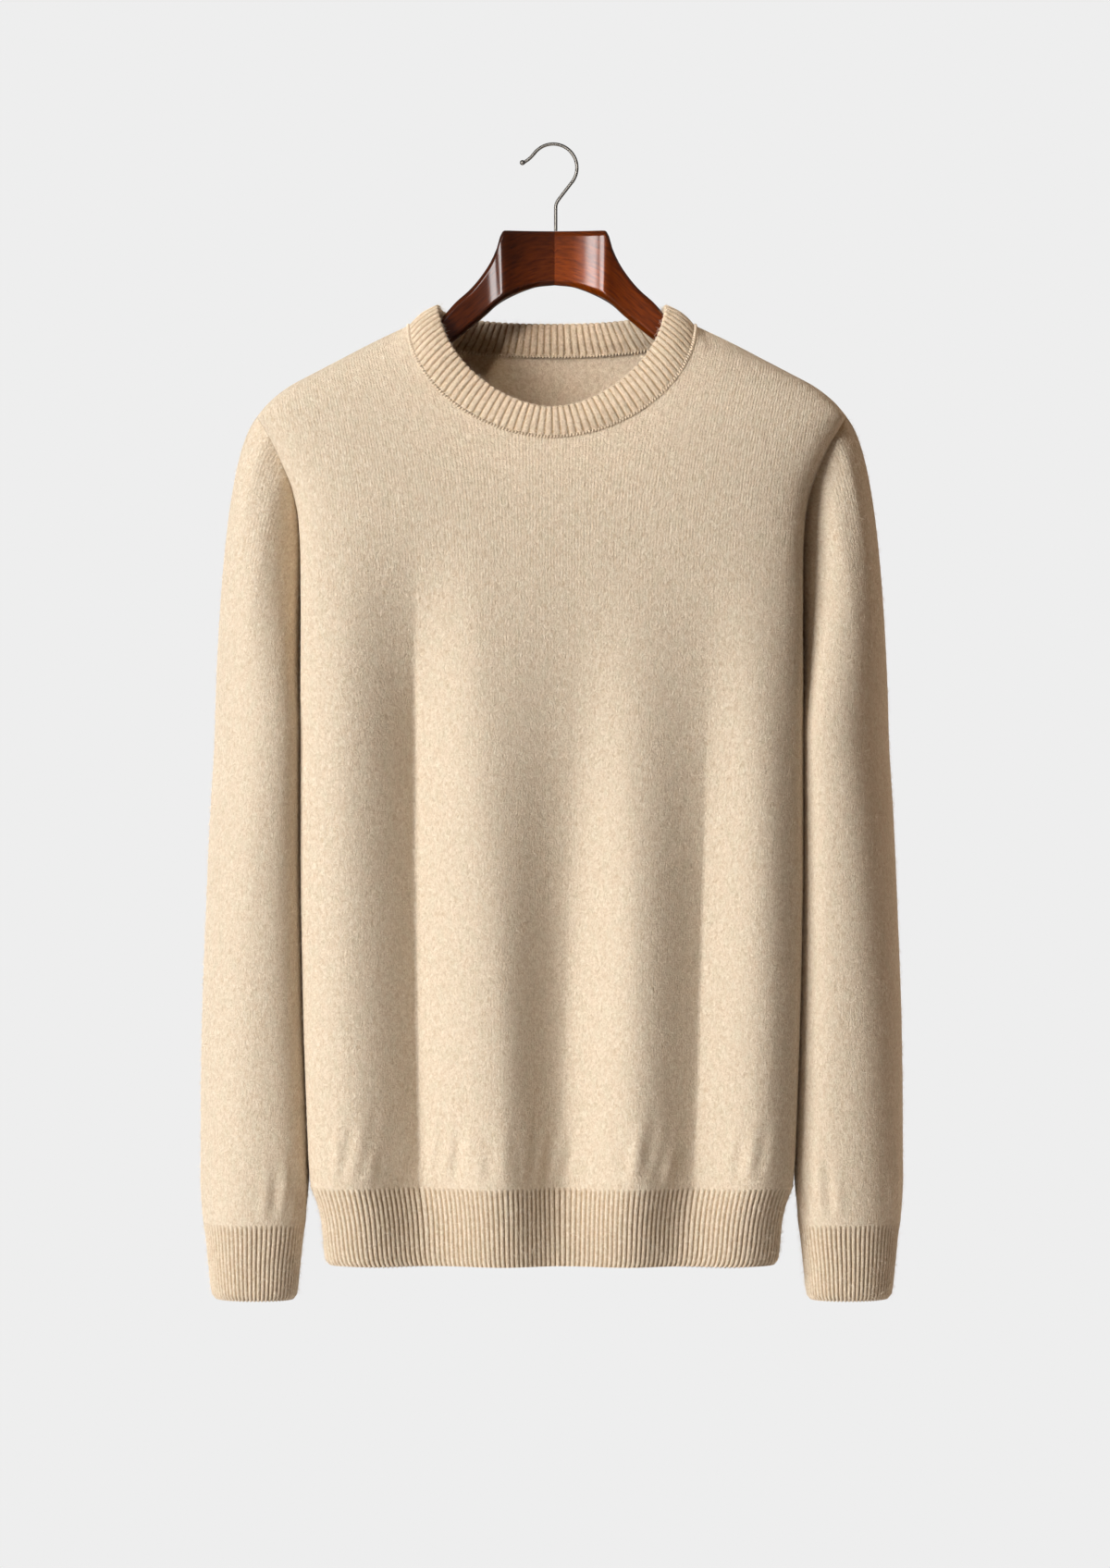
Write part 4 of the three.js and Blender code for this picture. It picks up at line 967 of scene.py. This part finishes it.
def make_arm(name, side):
    out_from_middle = np.concatenate([np.linspace(0, BLOCK_CORNER, BLOCK_RINGS),
                                      np.linspace(BLOCK_CORNER, ARM_REACH, ARM_RINGS)[1:]])
    rings = []
    for x in out_from_middle:
        top, bottom, half = [read_table(ARM, column, x) for column in ("top", "bottom", "half")]
        cut = min(ARM_CHAMFER, (top - bottom) / 3)
        corners = [(-half, bottom + cut), (-half, top - cut), (cut - half, top), (half - cut, top),
                   (half, top - cut), (half, bottom + cut), (half - cut, bottom), (cut - half, bottom)]
        rings.append([(side * x, out - ARM_SWEEP * x, z) for out, z in corners])
    points = looped(np.array(rings), 1) + np.array([ARMS_X, 0, 0])
    grain = places(lengths_along(points, 1), out_from_middle[:, None])
    piece = grid_piece(name, points, grain, WOOD, joined=True)
    bm = ends_closed(piece, sides=len(corners))
    rounded = bm.edges.layers.float.new("bevel_weight_edge")
    for edge in bm.edges:
        at_joint = all(abs(vert.co.x - ARMS_X * MM) < MM for vert in edge.verts)
        edge[rounded] = float(edge.calc_face_angle() > BEVEL_ANGLE and not at_joint)
        edge.smooth = not at_joint
    bm.to_mesh(piece.data)
    bm.free()
    bevel = piece.modifiers.new("rounded edges", "BEVEL")
    bevel.width = ARM_ROUNDING * MM
    bevel.segments = 3
    bevel.limit_method = "WEIGHT"
    bevel.harden_normals = True
    return piece


WIRE_RADIUS = 1.2
BALL_RADIUS = 1.9
HOOK_RADIUS = 17.1
HOOK_START, HOOK_END = 142, -36  # degrees round the bend, from +X
BALL_PLACE = np.array([-22.2, -12.2])
BALL_LEAD = np.array([9, 1.6])  # the wire's way out of the ball, and its pull
BEND_LEAD = 10  # pull of the bend where the wire swings into it
STEM_X = 1.8
STEM_TOP_Z = -41.5
STEM_FOOT_Z = -61.4
BALL_ENDS = (-0.99, 0.77)  # the ball's ends along the wire, as shares of its radius
NECK_ENDS = (0.22, 0.95)  # where the wire leaves the ball and joins the bend, as shares
KINK_PASSES = 3  # how much the kink over the stem is rounded
WIRE_SIDES = 20
BEND_RINGS, BALL_RINGS, STEM_RINGS = 60, 12, 8


def hook_line():
    """The wire's centre line as x, z and radius: the ball, the bend and the stem."""
    centre = np.array([0, WIRE_RADIUS - HOOK_RADIUS])
    angle = np.radians(np.linspace(HOOK_START, HOOK_END, BEND_RINGS))
    bend = centre + HOOK_RADIUS * np.stack([np.cos(angle), np.sin(angle)], axis=-1)
    along = np.linspace(*BALL_ENDS, BALL_RINGS)[:, None]
    ball = BALL_PLACE + unit(BALL_LEAD) * along * BALL_RADIUS
    ball_radius = BALL_RADIUS * np.sqrt(1 - along ** 2)
    pull = BEND_LEAD * np.array([math.sin(angle[0]), -math.cos(angle[0])])
    neck = [hermite(BALL_PLACE, BALL_LEAD, bend[0], pull, t) for t in np.linspace(*NECK_ENDS, BALL_RINGS)]
    kink = np.array([STEM_X, STEM_TOP_Z])
    slant = [mix(bend[-1], kink, t) for t in (0, 0.3, 0.6, 0.8, 0.9, 1)]
    down = softened([*slant, (STEM_X, STEM_TOP_Z - 1.5), (STEM_X, STEM_TOP_Z - 3)], KINK_PASSES)[1:]
    stem = [(STEM_X, z) for z in np.linspace(STEM_TOP_Z - 5, STEM_FOOT_Z, STEM_RINGS)]
    line = np.concatenate([ball, neck, bend, down, stem])
    radius = np.concatenate([ball_radius, np.full((len(line) - len(ball), 1), WIRE_RADIUS)])
    return line, radius


def make_hook():
    line, radius = hook_line()
    forward = unit(np.gradient(line, axis=0))
    level = np.stack([-forward[:, 1], forward[:, 0]], axis=-1)
    turn = 2 * math.pi * np.arange(WIRE_SIDES + 1) / WIRE_SIDES
    flat = line[:, None, :] + level[:, None, :] * (radius * np.cos(turn))[..., None]
    points = stack(flat[..., 0], radius * np.sin(turn), flat[..., 1])
    surface = places(turn * WIRE_RADIUS, lengths_along(line, 0)[:, None])
    piece = grid_piece("hook_wire", points, surface, WIRE, joined=True)
    bm = ends_closed(piece, sides=WIRE_SIDES)
    bm.to_mesh(piece.data)
    bm.free()
    return piece


# ---- Floor, light and background ----

FLOOR_Z = -1250
FLOOR_RADIUS = 1400
PALE = "EEEEEE"
LIT_Z = -430  # the level that most lights look at


def make_floor():
    bm = bmesh.new()
    bmesh.ops.create_circle(bm, cap_ends=True, segments=128, radius=FLOOR_RADIUS * MM)
    bmesh.ops.translate(bm, verts=bm.verts, vec=(0, 0, FLOOR_Z * MM))
    floor = put_in_scene("floor", mesh_from("floor", bm))
    material, tree = new_material("pale studio floor")
    place = add(tree, "TexCoord").outputs["Object"]
    level = add(tree, "Mapping", {"Vector": place, "Scale": (1, 1, 0)})
    distance = add(tree, "VectorMath", {0: level.outputs[0]}, operation="LENGTH")
    fade = add(tree, "MapRange", {"Value": distance.outputs["Value"], "From Min": 0.5 * FLOOR_RADIUS * MM,
                                  "From Max": FLOOR_RADIUS * MM}, interpolation_type="SMOOTHSTEP")
    matt = add(tree, "BsdfDiffuse", {"Color": rgb(PALE)})
    clear = add(tree, "BsdfTransparent")
    both = add(tree, "MixShader", {0: fade.outputs["Result"], 1: matt.outputs[0], 2: clear.outputs[0]})
    finish_material(tree, both)
    floor.data.materials.append(material)


def make_light(name, kind, place, watts, colour, aim, lights_cloth=True):
    """A light that looks at a level of the sweater. place is its azimuth, 0 in front and minus to
    the left, its elevation and its distance. One that doesn't light cloth shows in gloss only."""
    azimuth, elevation, distance = place
    data = bpy.data.lights.new(name, kind)
    data.energy = watts
    data.color = rgb(colour)[:3]
    light = put_in_scene(name, data)
    turn, lift = math.radians(azimuth), math.radians(elevation)
    way = Vector((math.sin(turn) * math.cos(lift), -math.cos(turn) * math.cos(lift), math.sin(lift)))
    light.location = (Vector((0, 0, aim)) + way * distance) * MM
    light.rotation_euler = way.to_track_quat("Z", "Y").to_euler()
    light.visible_camera = False
    light.visible_diffuse, light.visible_glossy = lights_cloth, not lights_cloth
    return data


def make_soft_light(name, place, width, height, watts, colour, aim=LIT_Z, lights_cloth=True):
    """A large rectangular light."""
    data = make_light(name, "AREA", place, watts, colour, aim, lights_cloth)
    data.shape = "RECTANGLE"
    data.size, data.size_y = width * MM, height * MM


def make_pool_of_light(name, place, radius, cone, watts, colour, aim):
    """A soft spot that fades out towards its edge."""
    data = make_light(name, "SPOT", place, watts, colour, aim)
    data.shadow_soft_size = radius * MM
    data.spot_size = math.radians(cone)
    data.spot_blend = 1


def make_background(ambient, colour, in_gloss):
    """The camera sees a pale background, gloss a darker one, and cloth gets a weak warm light."""
    world = bpy.data.worlds.new("studio")
    bpy.context.scene.world = world
    world.use_nodes = True
    tree = world.node_tree
    tree.nodes.clear()
    path = add(tree, "LightPath").outputs
    shown = add(tree, "Background", {"Color": rgb(colour), "Strength": ambient})
    for ray, strength in (("Is Glossy Ray", in_gloss), ("Is Camera Ray", 1.0)):
        pale = add(tree, "Background", {"Color": rgb(PALE), "Strength": strength})
        shown = add(tree, "MixShader", {0: path[ray], 1: shown.outputs[0], 2: pale.outputs[0]})
    tree.links.new(shown.outputs[0], add(tree, "OutputWorld").inputs["Surface"])


# ---- Putting it together ----


def fleece(piece, points, count, seed):
    """The loose fibres of a piece of cloth."""
    fibres = make_fibres(f"{piece.name}_fibres", points, count, seed)
    return fibres


def stand_for(piece, slot, *nodes):
    """Hides the CAD nodes whose place the piece takes. piece and slot are not used."""
    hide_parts(*nodes)


def make_body():
    for name, panel, node, hem_node, rows, columns, fibres in (
            ("front", FRONT, "front_panel", "hem_rib_front", 176, 224, 22000),
            ("back", BACK, "back_panel", "hem_rib_back", 150, 176, 13000)):
        cloth, points = make_panel(f"{name}_panel_knit", panel, rows, columns)
        stand_for(cloth, "jersey", node)
        hem, hem_points = make_hem(f"hem_{name}", panel)
        stand_for(hem, "rib", hem_node)
        fleece(cloth, points, fibres, len(name))
        fleece(hem, hem_points, 2600, 3)


def make_arms_and_sleeves():
    for side, word in ((1, "left"), (-1, "right")):
        arm = make_arm(f"arm_{word}", side)
        stand_for(arm, "varnished_wood", f"hanger_arm_{word}")
        sleeve, points = make_sleeve(f"sleeve_{word}_knit", side)
        stand_for(sleeve, "jersey", f"sleeve_{word}_upper", f"sleeve_{word}_lower")
        cuff, cuff_points = make_cuff(f"cuff_{word}_ribs", side)
        stand_for(cuff, "rib", f"cuff_{word}")
        fleece(sleeve, points, 13000, 10 + side)
        fleece(cuff, cuff_points, 1300, 20 + side)


def make_collar():
    band, points, seam, outward = make_neckband()
    stand_for(band, "rib", "neckband")
    shown = make_seam_stitches("neck_seam_stitches", seam + outward * SEAM_OUT, outward)
    inner_seam = seam - outward * (KNIT_WALL + SEAM_OUT)
    inside = make_seam_stitches("neck_seam_stitches_inside", inner_seam, -outward)
    fleece(band, points, 3600, 5)


make_camera()
make_body()
make_arms_and_sleeves()
make_collar()
stand_for(make_hook(), "plated_wire", "hook")
make_floor()
make_background(ambient=0.034, colour="FFB878", in_gloss=0.1)
make_soft_light("key", (-51, 16, 7000), 3200, 3200, 645, "FFFEFC")
make_soft_light("fill", (-12, 20, 6000), 4000, 4000, 8, "FFDDB8")
make_soft_light("top", (-10, 60, 5000), 2500, 2500, 36, "FFF6EC", aim=-170)
make_pool_of_light("neck", (-18, 34, 3000), 90, 3.8, 265, "FFE8D0", aim=-136)
make_soft_light("rim", (108, 10, 6000), 3000, 4000, 98, "FFE0C2")
make_soft_light("back", (-152, 18, 6000), 3000, 3000, 260, "FFFFFF")
make_soft_light("back fill", (150, 15, 6000), 4000, 4000, 120, "FFF3E6")
make_soft_light("strip", (-30, 4, 4000), 1200, 3000, 135, "FFFFFF", aim=-80, lights_cloth=False)
bpy.context.scene.view_settings.view_transform = "Standard"
